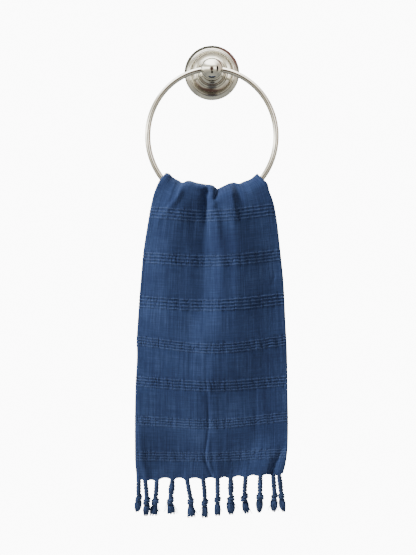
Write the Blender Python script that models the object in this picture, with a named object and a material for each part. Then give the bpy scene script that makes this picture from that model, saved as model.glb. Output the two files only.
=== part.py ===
"""A cotton hand towel, folded once lengthwise and hung over the ring of a wall towel ring.

The origin is the centre of the rosette's back face, +Z is up and the towel hangs in front of the wall,
towards -Y. Sizes are in millimetres until a mesh is made. "Down" is a height below the ball's centre.
"""

import math

import bmesh
import bpy
import numpy as np

MM = 0.001

# Towel ring: a turned rosette, a post that ends in a bored ball, and a bent wire ring.
ROSETTE_RADIUS = 35.5
ROSETTE_DEPTH = 13.0
BALL_RADIUS = 14.2
BALL_STEPS = 8
NECK_RADIUS = 8.6  # of the post where it runs into the ball
RING_PLANE = -60.0  # y of the ball's centre and of the ring
RING_HALF_WIDTH = 80.3  # to the middle of the wire
RING_HALF_HEIGHT = 85.4
WIRE_RADIUS = 3.5
BORE_CLEARANCE = 0.45
JOINT_GAP = 0.3
TURNED_STEPS = 32

# Cloth: two layers of one folded sheet.
CLOTH = 1.5  # thickness
LAYER_STEP = 3.5  # between the middles of the two layers
SHOULDER_PRESS = 1.1  # the layers lie this much closer together where they round the ring's sides
SHOULDER = (48, 57)
WIRE_CLEARANCE = 2.7
WRAP_HEIGHT = 11.0  # height of the rounded bend over the ring, outer layer
INNER_WRAP_HEIGHT = 6.0
FOLD_BULGE = 2.4  # how far the lengthwise fold rounds out
SELVEDGE_STEP = 2.0  # the inner layer's selvedge stands this far inside the outer one
RIB_HEIGHT = 0.7
RIB_EDGE = 2.2  # from the last rib to the flat cloth
TROUGH_SHARE = 0.3  # the cloth sinks this share of a rib's height between two ribs
OUTER_COLUMNS = 18
INNER_COLUMNS = 9
CENTRE_CROWDING = 0.04  # the columns stand closer together at the middle folds
BACK_RISE = 62.0  # the back hem hangs this much higher than the front one

# The outline of the hanging layers: x of the folded side and of the selvedges at each height.
OUTLINE = {
    "down": (133, 146, 154, 169, 192, 230, 268, 330, 345, 360, 400, 481, 500, 516),
    "left": (-58.0, -65.4, -68.8, -73.6, -78.1, -83.9, -87.1, -91.8, -93.0, -92.6, -94.1, -94.6, -94.4,
             -93.2),
    "right": (59.6, 70.2, 72.2, 77.6, 82.1, 86.6, 90.6, 93.8, 94.7, 95.3, 96.0, 95.9, 93.5, 89.2),
}
# The top edge of the bunched cloth where it goes over the ring.
CREST = {
    "x": (-64, -61, -58, -55.5, -53, -50, -43, -37.5, -30, -20, -8, 1, 6.4, 12, 21, 28, 33, 41, 50, 54, 57,
          60, 62.5, 65),
    "down": (137.5, 133.8, 132.8, 133.2, 135.0, 138.0, 142, 145, 142.5, 145, 147.2, 148.6, 153, 150.4, 146.4,
             145, 146.5, 143.6, 140, 136.6, 134.2, 133.4, 135.5, 139),
}
# Bands of four fine raised ribs: height at the left, middle and right, and the pitch of the ribs.
BANDS = [
    {"left": 182.5, "centre": 186.9, "right": 178.4, "pitch": 4.2},
    {"left": 239.6, "centre": 243.8, "right": 235.8, "pitch": 4.0},
    {"left": 295.5, "centre": 300.0, "right": 291.7, "pitch": 4.2},
    {"left": 345.4, "centre": 354.6, "right": 344.4, "pitch": 3.5},
    {"left": 396.5, "centre": 402.2, "right": 395.9, "pitch": 3.7},
    {"left": 445.4, "centre": 450.0, "right": 441.3, "pitch": 3.3},
    {"left": 490.2, "centre": 491.7, "right": 487.3, "pitch": 3.3},
]
HEM = {"left": 517.2, "centre": 517.6, "right": 511.6}
RIBS = (-1.5, -0.5, 0.5, 1.5)  # in pitches from the band's middle
TROUGHS = (-1.0, 0.0, 1.0)

# Depth of each panel in front of or behind the wall, before its folds.
FRONT_DEPTH = {
    "down": (140, 165, 195, 255, 309, 360, 410, 459, 517),
    "y": (-75.0, -76.2, -76.5, -73.5, -71.0, -71.0, -73.0, -73.0, -70.5),
}
BACK_DEPTH = {"down": (140, 185, 300, 456), "y": (-46.5, -47.0, -49.5, -52.0)}
FRONT_LIMIT = -70.2  # the outer layer stays in front of this beside the ring
BACK_LIMIT = -49.8
LIMIT_SOFTNESS = 1.0
LIMIT_FADE = (190.0, 225.0)
LOOSENESS = {"down": (180, 240), "share": (0.6, 0.12)}  # how much less the inner layer folds
RIGHT_FALL = {"down": (140, 200, 260, 517), "slope": (0.07, 0.10, 0.06, 0.03)}  # the right side turns away
RIGHT_FALL_FROM = 36.0

# Main folds. Each row is (down, x, height towards the viewer, half width).
FRONT_FOLDS = {
    "left crease": ((146, -38, 1.0, 5), (162, -43, 1.4, 5), (173, -53, 1.0, 6), (190, -66, 0.6, 8),
                    (212, -74, 0, 9)),
    "left edge turns back": ((146, -72, -3.0, 14), (165, -80, -7.0, 19), (195, -88, -9.5, 18),
                             (255, -94, -10.5, 21), (309, -98, -7.0, 24), (360, -100, -3.4, 26),
                             (410, -101, 0, 26)),
    "left rise": ((400, -98, 0, 24), (430, -97, 2.2, 25), (459, -96, 3.4, 26), (490, -92, 2.4, 24),
                  (517, -90, 1.5, 22)),
    "left lobe": ((148, -32, 2.2, 12), (163, -37, 3.8, 18), (178, -40, 3.4, 20), (200, -47, 2.0, 22),
                  (225, -52, 1.4, 20), (270, -56, 0, 20)),
    "centre valley": ((150, -4, -3.5, 4.5), (158, -6, -7, 5), (168, -8, -7.5, 5.5), (180, -8.5, -6.5, 6),
                      (195, -9, -3.6, 6.5), (217, -12, -2.0, 7.5), (245, -14, 0, 9)),
    "diagonal trough": ((165, -16, 0, 11), (195, -20, -2.4, 15), (225, -15, -4.0, 14), (255, -13, -3.8, 13),
                        (309, -20, -2.0, 14), (350, -34, 0, 16)),
    "centre ridge": ((155, -1, 2.6, 4.5), (172, 0, 3.2, 5), (192, 3, 2.6, 6), (217, 5, 2.4, 7),
                     (255, 8, 2.2, 8), (309, 9, 1.8, 11), (350, 5, 0.4, 10), (447, 4, 0.6, 7.5),
                     (487, 1, 1.0, 7.5), (517, 9, 1.2, 7.5)),
    "right lobe": ((147, 18, 1.0, 10), (157, 21, 4.4, 14), (172, 24, 6.0, 17), (195, 26, 4.6, 21),
                   (225, 29, 3.4, 24), (255, 30, 0, 28)),
    "centre rise": ((215, 30, 0, 30), (255, 29, 5.0, 32), (309, 22, 7.0, 36), (360, 8, 7.0, 46),
                    (410, -12, 4.0, 31), (459, -18, 2.2, 22), (517, -24, 1.2, 18)),
    "notch": ((150, 7.5, -5.0, 4), (158, 6.5, -5.0, 4), (166, 4, -1.5, 4), (174, 3, 0, 4)),
    "right valley": ((147, 29, -4.5, 4.5), (154, 32, -5.2, 5), (163, 35, -3.8, 5.2), (174, 37, -2.2, 6),
                     (188, 38, 0, 6)),
    "right nick": ((144, 35, 2.0, 5), (150, 39, -2.2, 5), (158, 44, -1.5, 5), (166, 47, 0, 5)),
    "right band": ((182, 27, 0, 6), (197, 28, 0.8, 6), (225, 28, 0.8, 6), (255, 29, 0.7, 7),
                   (309, 30, 0.6, 7), (340, 30, 0, 8)),
    "right trough": ((180, 70, 0, 26), (225, 76, -2.0, 27), (255, 78, -3.5, 28), (309, 80, -3.0, 28),
                     (360, 84, -3.4, 30), (410, 82, -6.2, 44), (435, 74, -6.4, 44), (459, 66, -5.6, 42),
                     (485, 44, -4.0, 30), (517, 24, -3.0, 18)),
    "right hem rise": ((465, 64, 0, 14), (495, 62, 1.6, 14), (517, 62, 2.2, 13)),
    "left turn": ((440, -92, 0, 5), (470, -91, 1.6, 5), (500, -88, 2.2, 5), (517, -83, 1.8, 5)),
    "right corner": ((470, 91, 0, 5), (488, 86, -2.4, 5), (503, 79, -3.0, 5), (517, 75, -2.2, 5)),
}
BACK_FOLDS = {
    "left belly": ((150, -44, 2.0, 14), (200, -47, 4.2, 18), (330, -50, 2.6, 22), (456, -52, 2.0, 22)),
    "valley": ((150, -10, -2.6, 9), (190, -12, -3.2, 10), (300, -14, -2.4, 12), (456, -15, -2.4, 12)),
    "ridge": ((150, 14, 3.0, 9), (200, 16, 4.0, 11), (330, 18, 2.4, 13), (456, 20, 2.2, 13)),
    "right valley": ((150, 38, -2.0, 8), (200, 42, -2.4, 9), (300, 46, -1.6, 11), (456, 48, -1.8, 12)),
    "right belly": ((150, 54, 0.5, 8), (230, 64, 2.4, 11), (340, 70, 1.6, 12), (456, 72, 1.6, 12)),
}
# The inner layer sags onto the wire at these places of the crest: x, depth and half width.
CREST_DIPS = ((-27, 8, 13), (6, 8, 9), (34, 6, 10))

# Fringe: a strip along each hem, with its strands twisted, knotted and brushed out below the knot.
STRIP_GAP = 0.3
STRIP_HEIGHT = {"root": 3.4, "between": 1.5}  # the strip is drawn down at each strand
STRAND_WIDTH = 3.0
STRAND_RADIUS = 2.1
STRAND_TWIST = math.radians(50)  # from one section to the next
KNOT_HALF_HEIGHT = 3.4
# One row for each front strand: x at the root, the knot and the tip, heights of knot and tip, radii.
STRANDS = {
    "root": (-90.6, -84.6, -69.9, -49.8, -31.8, -11.4, 7.0, 24.1, 42.8, 61.6, 77.6, 84.6),
    "knot": (-92.7, -82.5, -71.8, -52.7, -26.9, -9.0, 7.2, 24.1, 41.3, 61.0, 79.4, 88.0),
    "tip": (-94.5, -83.5, -74.5, -51.5, -26.2, -9.2, 7.0, 24.0, 44.0, 59.8, 78.2, 90.4),
    "knot_down": (545.8, 549.2, 550.0, 549.0, 550.2, 551.4, 547.6, 547.6, 545.2, 544.4, 543.8, 543.4),
    "tip_down": (562, 566, 564, 564.5, 568, 569, 566, 564, 562, 562, 560.5, 560.5),
    "knot_radius": (3.4, 3.4, 3.8, 3.6, 3.9, 3.6, 3.6, 3.6, 4.0, 4.2, 3.6, 3.5),
    "tail_radius": (3.8, 3.4, 3.8, 4.4, 4.4, 3.4, 4.0, 5.2, 4.4, 4.2, 4.2, 4.0),
    "belly": (0.2, 0.2, 0.2, 1.6, 0.3, 0.0, -0.2, 1.5, 0.0, 0.2, 0.2, 0.0),  # loose twist above the knot
}
LAYER_LEAN = 8.5  # the layer nearer the wall has its strands pushed this far back by those in front
INNER_SHORTER = 2.0

CLOTH_BLUE = (0.045, 0.115, 0.26, 1)
YARN_BLUE = (0.03, 0.075, 0.175, 1)
NICKEL = (0.62, 0.6, 0.56, 1)


def clear_scene():
    for thing in list(bpy.data.objects):
        bpy.data.objects.remove(thing, do_unlink=True)


def make_material(name, colour, roughness, metallic):
    material = bpy.data.materials.new(name)
    material.use_nodes = True
    shader = material.node_tree.nodes["Principled BSDF"]
    shader.inputs["Base Color"].default_value = colour
    shader.inputs["Roughness"].default_value = roughness
    shader.inputs["Metallic"].default_value = metallic
    return material


def add_object(name, mesh, material):
    mesh.materials.append(material)
    thing = bpy.data.objects.new(name, mesh)
    bpy.context.scene.collection.objects.link(thing)
    return thing


def mesh_of(bm, name):
    """Ends a bmesh drawn in millimetres as a mesh in metres."""
    bmesh.ops.recalc_face_normals(bm, faces=bm.faces)
    bmesh.ops.scale(bm, verts=bm.verts, vec=(MM, MM, MM))
    mesh = bpy.data.meshes.new(name)
    bm.to_mesh(mesh)
    bm.free()
    return mesh


def smooth_through(knots, values, at):
    """The value at a place on a smooth curve through a short table, level past the table's ends."""
    knots = np.array(knots, float)
    values = np.array(values, float)
    slopes = np.diff(values) / np.diff(knots)
    tangents = np.concatenate([slopes[:1], (slopes[1:] + slopes[:-1]) / 2, slopes[-1:]])
    at = float(np.clip(at, knots[0], knots[-1]))
    i = int(np.clip(np.searchsorted(knots, at) - 1, 0, len(knots) - 2))
    span = knots[i + 1] - knots[i]
    t = (at - knots[i]) / span
    return float(
        (2 * t**3 - 3 * t**2 + 1) * values[i]
        + (t**3 - 2 * t**2 + t) * span * tangents[i]
        + (3 * t**2 - 2 * t**3) * values[i + 1]
        + (t**3 - t**2) * span * tangents[i + 1]
    )


def turned(name, profile, material):
    """A closed round piece from (radius, y) pairs that start and end on its own axis."""
    bm = bmesh.new()
    points = [bm.verts.new((radius, depth, 0)) for radius, depth in profile]
    edges = [bm.edges.new(pair) for pair in zip(points, points[1:])]
    bmesh.ops.spin(
        bm, geom=points + edges, axis=(0, 1, 0), angle=2 * math.pi, steps=TURNED_STEPS, use_merge=True
    )
    bmesh.ops.remove_doubles(bm, verts=bm.verts, dist=0.01)
    mesh = mesh_of(bm, name)
    mesh.shade_smooth()
    mesh.set_sharp_from_angle(angle=math.radians(35))
    return add_object(name, mesh, material)


def wall_rosette(material):
    profile = [
        (0, 0), (ROSETTE_RADIUS, 0), (ROSETTE_RADIUS, -2.2), (ROSETTE_RADIUS - 1.6, -4.4), (31.5, -5.4),
        (31.0, -8.0), (29.4, -9.2), (27.6, -8.6), (26.4, -9.6), (24.6, -10.4), (20.0, -9.4), (18.0, -10.2),
        (17.2, -ROSETTE_DEPTH), (0, -ROSETTE_DEPTH),
    ]
    return turned("wall_rosette", profile, material)


def ball_post(material, ring_shape):
    """The post and its ball, turned from one bar, then bored along the ring's own curve."""
    foot = -ROSETTE_DEPTH - JOINT_GAP
    neck_angle = math.asin(NECK_RADIUS / BALL_RADIUS)
    ball = []
    for i in range(BALL_STEPS):
        angle = neck_angle + (math.pi - neck_angle) * i / BALL_STEPS
        ball.append((BALL_RADIUS * math.sin(angle), RING_PLANE + BALL_RADIUS * math.cos(angle)))
    ball.append((0, RING_PLANE - BALL_RADIUS))
    profile = [
        (0, foot), (15.6, foot), (16.2, foot - 1.8), (15.2, foot - 3.6), (12.8, foot - 5.0),
        (10.4, foot - 10.0), (9.6, foot - 17.0), (12.4, foot - 19.5), (12.6, foot - 23.0),
        (9.6, foot - 25.6), (10.2, foot - 29.0),
    ]
    post = turned("ball_post", profile + ball, material)
    bore_shape = tube_mesh("ring_bore", ring_shape, WIRE_RADIUS + BORE_CLEARANCE)
    cutter = add_object("ring_bore", bore_shape, material)
    cutter.hide_render = True
    cutter.display_type = "WIRE"
    bore = post.modifiers.new("bore for the ring", "BOOLEAN")
    bore.object = cutter
    bore.operation = "DIFFERENCE"
    bore.solver = "EXACT"
    return post


def ring_points(count):
    """The ring's centre line: an upright oval that hangs from the ball's centre."""
    points = []
    for i in range(count):
        angle = 2 * math.pi * i / count
        height = RING_HALF_HEIGHT * (math.cos(angle) - 1)
        points.append((RING_HALF_WIDTH * math.sin(angle), RING_PLANE, height))
    return points


def tube_mesh(name, points, radius):
    """A closed ring of round wire, drawn as a bevelled curve."""
    curve = bpy.data.curves.new(name + " curve", "CURVE")
    curve.dimensions = "3D"
    curve.bevel_depth = radius * MM
    curve.bevel_resolution = 2
    spline = curve.splines.new("POLY")
    spline.points.add(len(points) - 1)
    for point, place in zip(spline.points, points):
        point.co = (place[0] * MM, place[1] * MM, place[2] * MM, 1)
    spline.use_cyclic_u = True
    guide = bpy.data.objects.new(name + " curve", curve)
    mesh = bpy.data.meshes.new_from_object(guide)
    bpy.data.objects.remove(guide)
    mesh.shade_smooth()
    return mesh


def line_height(line, u):
    """Height of a weft line across the towel, u = 0 at the fold and 1 at the selvedges."""
    return smooth_through((0, 0.5, 1), (line["left"], line["centre"], line["right"]), u)


def outline_x(u, down):
    left = smooth_through(OUTLINE["down"], OUTLINE["left"], down)
    right = smooth_through(OUTLINE["down"], OUTLINE["right"], down)
    return left + (right - left) * u


def fold_depth(folds, x, down):
    depth = 0.0
    for rows in folds.values():
        heights = [row[0] for row in rows]
        centre, rise, width = (smooth_through(heights, [row[k] for row in rows], down) for k in (1, 2, 3))
        depth += rise * math.exp(-(((x - centre) / width) ** 2))
    return depth


def above_wire(x):
    """Height at which the middle of a layer clears the ring's lower arc."""
    share = min(abs(x) / RING_HALF_WIDTH, 0.95)
    rise = math.sqrt(1 - share**2)
    slope = RING_HALF_HEIGHT / RING_HALF_WIDTH * share / rise
    return RING_HALF_HEIGHT * (1 + rise) - (WIRE_RADIUS + WIRE_CLEARANCE + CLOTH / 2) * math.hypot(1, slope)


def crest_height(ply, x):
    step = LAYER_STEP - SHOULDER_PRESS * smooth_through(SHOULDER, (0, 1), abs(x))
    outer = min(smooth_through(CREST["x"], CREST["down"], x) + CLOTH / 2, above_wire(x) - step)
    if ply == "outer":
        return outer
    sag = sum(depth * math.exp(-(((x - centre) / width) ** 2)) for centre, depth, width in CREST_DIPS)
    return min(outer + step + sag, above_wire(x))


def panel_y(side, ply, x, down):
    """Depth of one layer of the front panel (side -1) or of the back panel (side 1)."""
    front = side < 0
    table = FRONT_DEPTH if front else BACK_DEPTH
    limit = FRONT_LIMIT if front else BACK_LIMIT
    y = smooth_through(table["down"], table["y"], down)
    y += side * fold_depth(FRONT_FOLDS if front else BACK_FOLDS, x, down)
    if front:
        y += smooth_through(RIGHT_FALL["down"], RIGHT_FALL["slope"], down) * max(0.0, x - RIGHT_FALL_FROM)
    held = limit + side * LIMIT_SOFTNESS * math.log1p(math.exp(side * (y - limit) / LIMIT_SOFTNESS))
    free = smooth_through(LIMIT_FADE, (0, 1), down)
    y = held + (y - held) * free
    if ply == "outer":
        return y
    loose = smooth_through(LOOSENESS["down"], LOOSENESS["share"], down)
    return y - side * (LAYER_STEP + loose * max(0.0, side * (y - limit)))


def cloth_point(row, ply, u):
    """A point in the middle of one layer, on a weft line of the towel."""
    side = row["side"]
    selvedge = 0.0 if ply == "outer" else SELVEDGE_STEP - math.sin(row["order"] * 0.21)
    if "line" in row:
        down = line_height(row["line"], u) + row["offset"]
        x = outline_x(u, down) - selvedge * u
        return (x, panel_y(side, ply, x, down), -down)
    crest_x = outline_x(u, 0) - selvedge * u
    top = crest_height(ply, crest_x)
    height = WRAP_HEIGHT if ply == "outer" else INNER_WRAP_HEIGHT
    turn = row["turn"]
    down = top + height * (1 - math.cos(min(turn, 1) * math.pi / 2))
    if turn > 1:  # past the bend, part of the way to the first band
        first = line_height(row["next"], u) + row["next_offset"]
        down += (first - down) * (turn - 1)
    out = math.sin(min(turn, 1) * math.pi / 2)
    x = crest_x + (outline_x(u, down) - selvedge * u - crest_x) * out
    return (x, RING_PLANE + (panel_y(side, ply, x, down) - RING_PLANE) * out, -down)


def raised(line, rise):
    return {"left": line["left"] - rise, "centre": line["centre"] - rise, "right": line["right"] - rise}


def panel_rows(side):
    """The weft lines of one panel from the crest to its hem. Lines not kept are only on the ribbed face."""
    rise = 0 if side < 0 else BACK_RISE
    bands = BANDS if side < 0 else BANDS[1:]
    rows = []
    first = bands[0]
    first_offset = RIBS[0] * first["pitch"] - RIB_EDGE
    for turn in (0.25, 0.5, 0.75, 1.0, 1.5):
        rows.append({"turn": turn, "next": raised(first, rise), "next_offset": first_offset})
    for number, band in enumerate(bands):
        line = raised(band, rise)
        edge = RIBS[-1] * band["pitch"] + RIB_EDGE
        steps = [(k * band["pitch"], 1 if k in RIBS else -TROUGH_SHARE) for k in sorted(RIBS + TROUGHS)]
        for offset, rib in [(-edge, 0)] + steps + [(edge, 0)]:
            keep = number == 0 and (offset == 0 or rib == 0)
            rows.append({"line": line, "offset": offset, "rib": rib, "keep": keep})
        below = raised(bands[number + 1] if number + 1 < len(bands) else HEM, rise)
        middle = {key: (line[key] + below[key]) / 2 for key in below}
        rows.append({"line": middle, "offset": 0})
    rows.append({"line": raised(HEM, rise), "offset": 0})
    return [{"side": side, "rib": 0, "keep": True} | row for row in rows]


def towel_rows():
    """All weft lines in order, from the front hem over the crest to the back hem."""
    front = panel_rows(-1)
    back = panel_rows(1)
    crest = dict(front[0], turn=0.0)
    rows = front[::-1] + [crest] + back
    for order, row in enumerate(rows):
        row["order"] = order
    return rows


def towel_columns():
    """Places across the cut cloth: the outer layer from its selvedge to the fold, then the inner layer."""
    columns = []
    for i in range(OUTER_COLUMNS + 1):
        t = 1 - i / OUTER_COLUMNS
        columns.append(("outer", t + CENTRE_CROWDING * math.sin(2 * math.pi * t)))
    columns += [("turn", math.radians(60)), ("turn", math.radians(120))]
    columns += [("inner", i / INNER_COLUMNS) for i in range(INNER_COLUMNS + 1)]
    return columns


def sheet_point(row, column):
    kind, place = column
    if kind != "turn":
        return np.array(cloth_point(row, kind, place))
    start = np.array(cloth_point(row, "outer", 0))
    end = np.array(cloth_point(row, "inner", 0))
    bulge = min(FOLD_BULGE, np.linalg.norm(start - end) / 2)
    middle = (start + end) / 2
    return middle + (start - middle) * math.cos(place) + np.array((-bulge, 0, 0)) * math.sin(place)


def sheet_normals(points):
    """Unit normals of a grid of points, from its own rows and columns."""
    normal = np.cross(np.gradient(points, axis=0), np.gradient(points, axis=1))
    return normal / np.linalg.norm(normal, axis=2, keepdims=True)


def towel(material):
    """One closed sheet: a grid extruded to its thickness, ribs raised on the face that shows."""
    rows = towel_rows()
    columns = towel_columns()
    middle = np.array([[sheet_point(row, column) for column in columns] for row in rows])
    normal = sheet_normals(middle)
    bm = bmesh.new()
    bmesh.ops.create_grid(bm, x_segments=len(columns) - 1, y_segments=len(rows) - 1, size=0.5)
    row_of = bm.verts.layers.int.new("row")
    column_of = bm.verts.layers.int.new("column")
    for vert in bm.verts:
        vert[column_of] = round((vert.co.x + 0.5) * (len(columns) - 1))
        vert[row_of] = round((vert.co.y + 0.5) * (len(rows) - 1))
    shown = set(bm.verts)
    bmesh.ops.extrude_face_region(bm, geom=bm.faces[:], use_keep_orig=True)
    for vert in bm.verts:
        i, j = vert[row_of], vert[column_of]
        if vert in shown:
            rib = rows[i]["rib"] * RIB_HEIGHT if columns[j][0] == "outer" else 0
            vert.co = middle[i, j] + normal[i, j] * (CLOTH / 2 + rib)
        else:
            vert.co = middle[i, j] - normal[i, j] * CLOTH / 2
    plain = []
    for edge in bm.edges:
        a, b = edge.verts
        if a[row_of] != b[row_of] or rows[a[row_of]]["keep"]:
            continue
        ribbed = a in shown and b in shown and columns[a[column_of]][0] == columns[b[column_of]][0] == "outer"
        through = (a in shown) != (b in shown)
        if not ribbed and not through:
            plain.append(edge)
    bmesh.ops.dissolve_edges(bm, edges=plain, use_verts=True)
    many = [face for face in bm.faces if len(face.verts) > 4]
    bmesh.ops.triangulate(bm, faces=many, ngon_method="BEAUTY")
    mesh = mesh_of(bm, "towel")
    mesh.shade_smooth()
    return add_object("towel", mesh, material)


def across_at(row, ply, x):
    """The place across a layer, from 0 to 1, at which a weft line reaches x."""
    low, high = 0.0, 1.0
    for _ in range(30):
        middle = (low + high) / 2
        if cloth_point(row, ply, middle)[0] < x:
            low = middle
        else:
            high = middle
    return (low + high) / 2


def strip_stops(row, roots):
    """Stops along a folded hem: each place, how far the strip reaches down there, and the strand that the
    stretch up to this stop carries. The outer layer is followed to the fold, then the inner one back."""
    half = STRAND_WIDTH / 2
    stops = [(sheet_point(row, ("outer", 1)), "between", None)]

    def stop(ply, x, reach, strand=None):
        stops.append((sheet_point(row, (ply, across_at(row, ply, x))), reach, strand))

    for number in range(len(roots) - 1, -1, -1):
        stop("outer", roots[number] + half, "root")
        stop("outer", roots[number] - half, "root", number)
        if number:
            stop("outer", (roots[number] + roots[number - 1]) / 2, "between")
    for angle in (0, 60, 120, 180):
        stops.append((sheet_point(row, ("turn", math.radians(angle))), "between", None))
    for number, x in enumerate(roots):
        if number:
            stop("inner", (roots[number - 1] + x) / 2, "between")
        stop("inner", x - half, "root")
        stop("inner", x + half, "root", len(roots) + number)
    stops.append((sheet_point(row, ("inner", 1)), "between", None))
    return stops


def extruded(bm, face):
    """One face extruded in place: the new face, and the new corner over each old one."""
    old = [(vert, vert.co.copy()) for vert in face.verts]
    inside = all(len(edge.link_faces) == 2 for edge in face.edges)
    grown = bmesh.ops.extrude_face_region(bm, geom=[face])["geom"]
    corners = [part for part in grown if isinstance(part, bmesh.types.BMVert)]
    matched = {vert: min(corners, key=lambda v, place=place: (v.co - place).length) for vert, place in old}
    if inside:
        bmesh.ops.delete(bm, geom=[face], context="FACES_ONLY")
    return next(part for part in grown if isinstance(part, bmesh.types.BMFace)), matched


def section_corners(face, centre):
    """The corners of a strand's root in order round it, with the angle of each."""
    corners = sorted(face.verts, key=lambda v: math.atan2(v.co.y - centre[1], v.co.x - centre[0]))
    return [(vert, -math.pi * 3 / 4 + math.pi / 2 * i) for i, vert in enumerate(corners)]


def grow_strand(bm, face, strand):
    """Extrudes a strip's bottom face into a twisted, knotted strand with a brushed end."""
    root = np.array(face.calc_center_median())
    corners = section_corners(face, root)
    knot = np.array(strand["knot"])
    tip = np.array(strand["tip"])
    up = np.array((0, 0, KNOT_HALF_HEIGHT))
    neck = knot + up
    waist = knot - up * 0.9
    thick = STRAND_RADIUS + strand["belly"]
    sections = [
        (root + (neck - root) * 0.3, STRAND_RADIUS, 1),
        (root + (neck - root) * 0.65, thick, 2),
        (neck, STRAND_RADIUS * 0.9, 3),
        (knot + up * 0.1, strand["knot_radius"] * 1.15, 3.5),
        (waist, STRAND_RADIUS * 1.1, 4),
        (waist + (tip - waist) * 0.55, strand["tail_radius"], 4.4),
        (waist + (tip - waist) * 0.9, strand["tail_radius"] * 1.1, 4.6),
        (tip, strand["tail_radius"] * 0.45, 4.6),
    ]
    for centre, radius, turns in sections:
        face, matched = extruded(bm, face)
        corners = [(matched[vert], angle) for vert, angle in corners]
        for vert, angle in corners:
            spun = angle + STRAND_TWIST * turns
            vert.co = (centre[0] + radius * math.cos(spun), centre[1] + radius * math.sin(spun), centre[2])


def strand_at(root, number, count, side, rise):
    """The knot and tip of one strand: the front table, or the same turned round for the back."""
    outer = number < count
    k = number % count
    lean = LAYER_LEAN if outer == (side > 0) else 0.0
    shorter = 0.0 if outer else INNER_SHORTER
    table = {key: values[k] for key, values in STRANDS.items()}
    x_knot = root[0] + (table["knot"] - table["root"]) * -side
    x_tip = root[0] + (table["tip"] - table["root"]) * -side
    return {
        "knot": (x_knot, root[1] + lean * 0.9, -table["knot_down"] + rise + shorter),
        "tip": (x_tip, root[1] + lean, -table["tip_down"] + rise + shorter),
        "knot_radius": table["knot_radius"],
        "tail_radius": table["tail_radius"],
        "belly": table["belly"] if outer else 0.0,
    }


def fringe(name, side, material):
    """A strip swept along the hem, with a strand grown from its underside at each root."""
    row = towel_rows()[0 if side < 0 else -1]
    rise = 0.0 if side < 0 else BACK_RISE
    roots = STRANDS["root"]
    stops = strip_stops(row, roots)
    along = np.gradient(np.array([place for place, _, _ in stops]), axis=0)
    out = np.cross((0, 0, 1), along)
    out /= np.linalg.norm(out, axis=1, keepdims=True)
    bm = bmesh.new()
    face = None
    grown_from = []
    for (place, reach, strand), across in zip(stops, out):
        corners = []
        for sign, drop in ((1, 0), (-1, 0), (-1, STRIP_HEIGHT[reach]), (1, STRIP_HEIGHT[reach])):
            corner = place + across * sign * CLOTH / 2
            corners.append((corner[0], corner[1], corner[2] - STRIP_GAP - drop))
        if face is None:
            section = [bm.verts.new(corner) for corner in corners]
            face = bm.faces.new(section)
            continue
        before = section
        face, matched = extruded(bm, face)
        section = [matched[vert] for vert in before]
        for vert, corner in zip(section, corners):
            vert.co = corner
        if strand is not None:
            lower = {before[2], before[3], section[2], section[3]}
            grown_from.append((next(f for f in section[2].link_faces if set(f.verts) == lower), strand))
    for bottom, number in grown_from:
        grow_strand(bm, bottom, strand_at(bottom.calc_center_median(), number, len(roots), side, rise))
    mesh = mesh_of(bm, name)
    mesh.shade_smooth()
    mesh.set_sharp_from_angle(angle=math.radians(60))
    return add_object(name, mesh, material)


def build():
    clear_scene()
    metal = make_material("polished nickel", NICKEL, 0.12, 1.0)
    cloth = make_material("washed cotton", CLOTH_BLUE, 0.95, 0.0)
    yarn = make_material("twisted cotton yarn", YARN_BLUE, 0.95, 0.0)
    wall_rosette(metal)
    ball_post(metal, ring_points(96))
    add_object("towel_ring", tube_mesh("towel_ring", ring_points(60), WIRE_RADIUS), metal)
    towel(cloth)
    fringe("front_fringe", -1, yarn)
    fringe("back_fringe", 1, yarn)


build()
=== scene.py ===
import math
from functools import partial

import bmesh
import bpy
import numpy as np
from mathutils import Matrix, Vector


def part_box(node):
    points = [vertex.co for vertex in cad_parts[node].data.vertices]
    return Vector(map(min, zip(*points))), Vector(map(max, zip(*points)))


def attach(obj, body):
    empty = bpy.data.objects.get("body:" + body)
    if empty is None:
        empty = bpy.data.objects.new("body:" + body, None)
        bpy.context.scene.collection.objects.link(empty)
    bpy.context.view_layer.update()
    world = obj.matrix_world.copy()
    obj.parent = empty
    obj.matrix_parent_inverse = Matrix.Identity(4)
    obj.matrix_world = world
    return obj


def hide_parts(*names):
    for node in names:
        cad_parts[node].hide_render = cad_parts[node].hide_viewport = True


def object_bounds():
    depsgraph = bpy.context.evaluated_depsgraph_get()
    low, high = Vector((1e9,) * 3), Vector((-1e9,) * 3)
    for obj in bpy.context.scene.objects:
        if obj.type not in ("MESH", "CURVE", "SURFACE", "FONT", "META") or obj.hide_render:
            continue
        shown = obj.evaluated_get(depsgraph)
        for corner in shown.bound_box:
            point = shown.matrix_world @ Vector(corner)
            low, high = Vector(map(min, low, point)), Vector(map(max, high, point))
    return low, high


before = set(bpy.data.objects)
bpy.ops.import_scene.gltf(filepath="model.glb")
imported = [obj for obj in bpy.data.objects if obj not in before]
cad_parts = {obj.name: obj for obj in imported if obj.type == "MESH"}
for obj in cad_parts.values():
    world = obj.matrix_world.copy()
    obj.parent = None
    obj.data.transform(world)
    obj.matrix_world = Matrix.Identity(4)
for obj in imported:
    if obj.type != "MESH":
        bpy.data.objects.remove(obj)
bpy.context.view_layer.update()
mm = 0.001  # every size below is in millimetres, and "down" is a distance below the ball's centre
print("frame: the packed ring and towel are in place")


# helpers for colours, nodes and meshes


def linear(srgbHex):
    channels = [int(srgbHex[i : i + 2], 16) / 255 for i in (0, 2, 4)]
    return [c / 12.92 if c <= 0.04045 else ((c + 0.055) / 1.055) ** 2.4 for c in channels] + [1]


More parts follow.
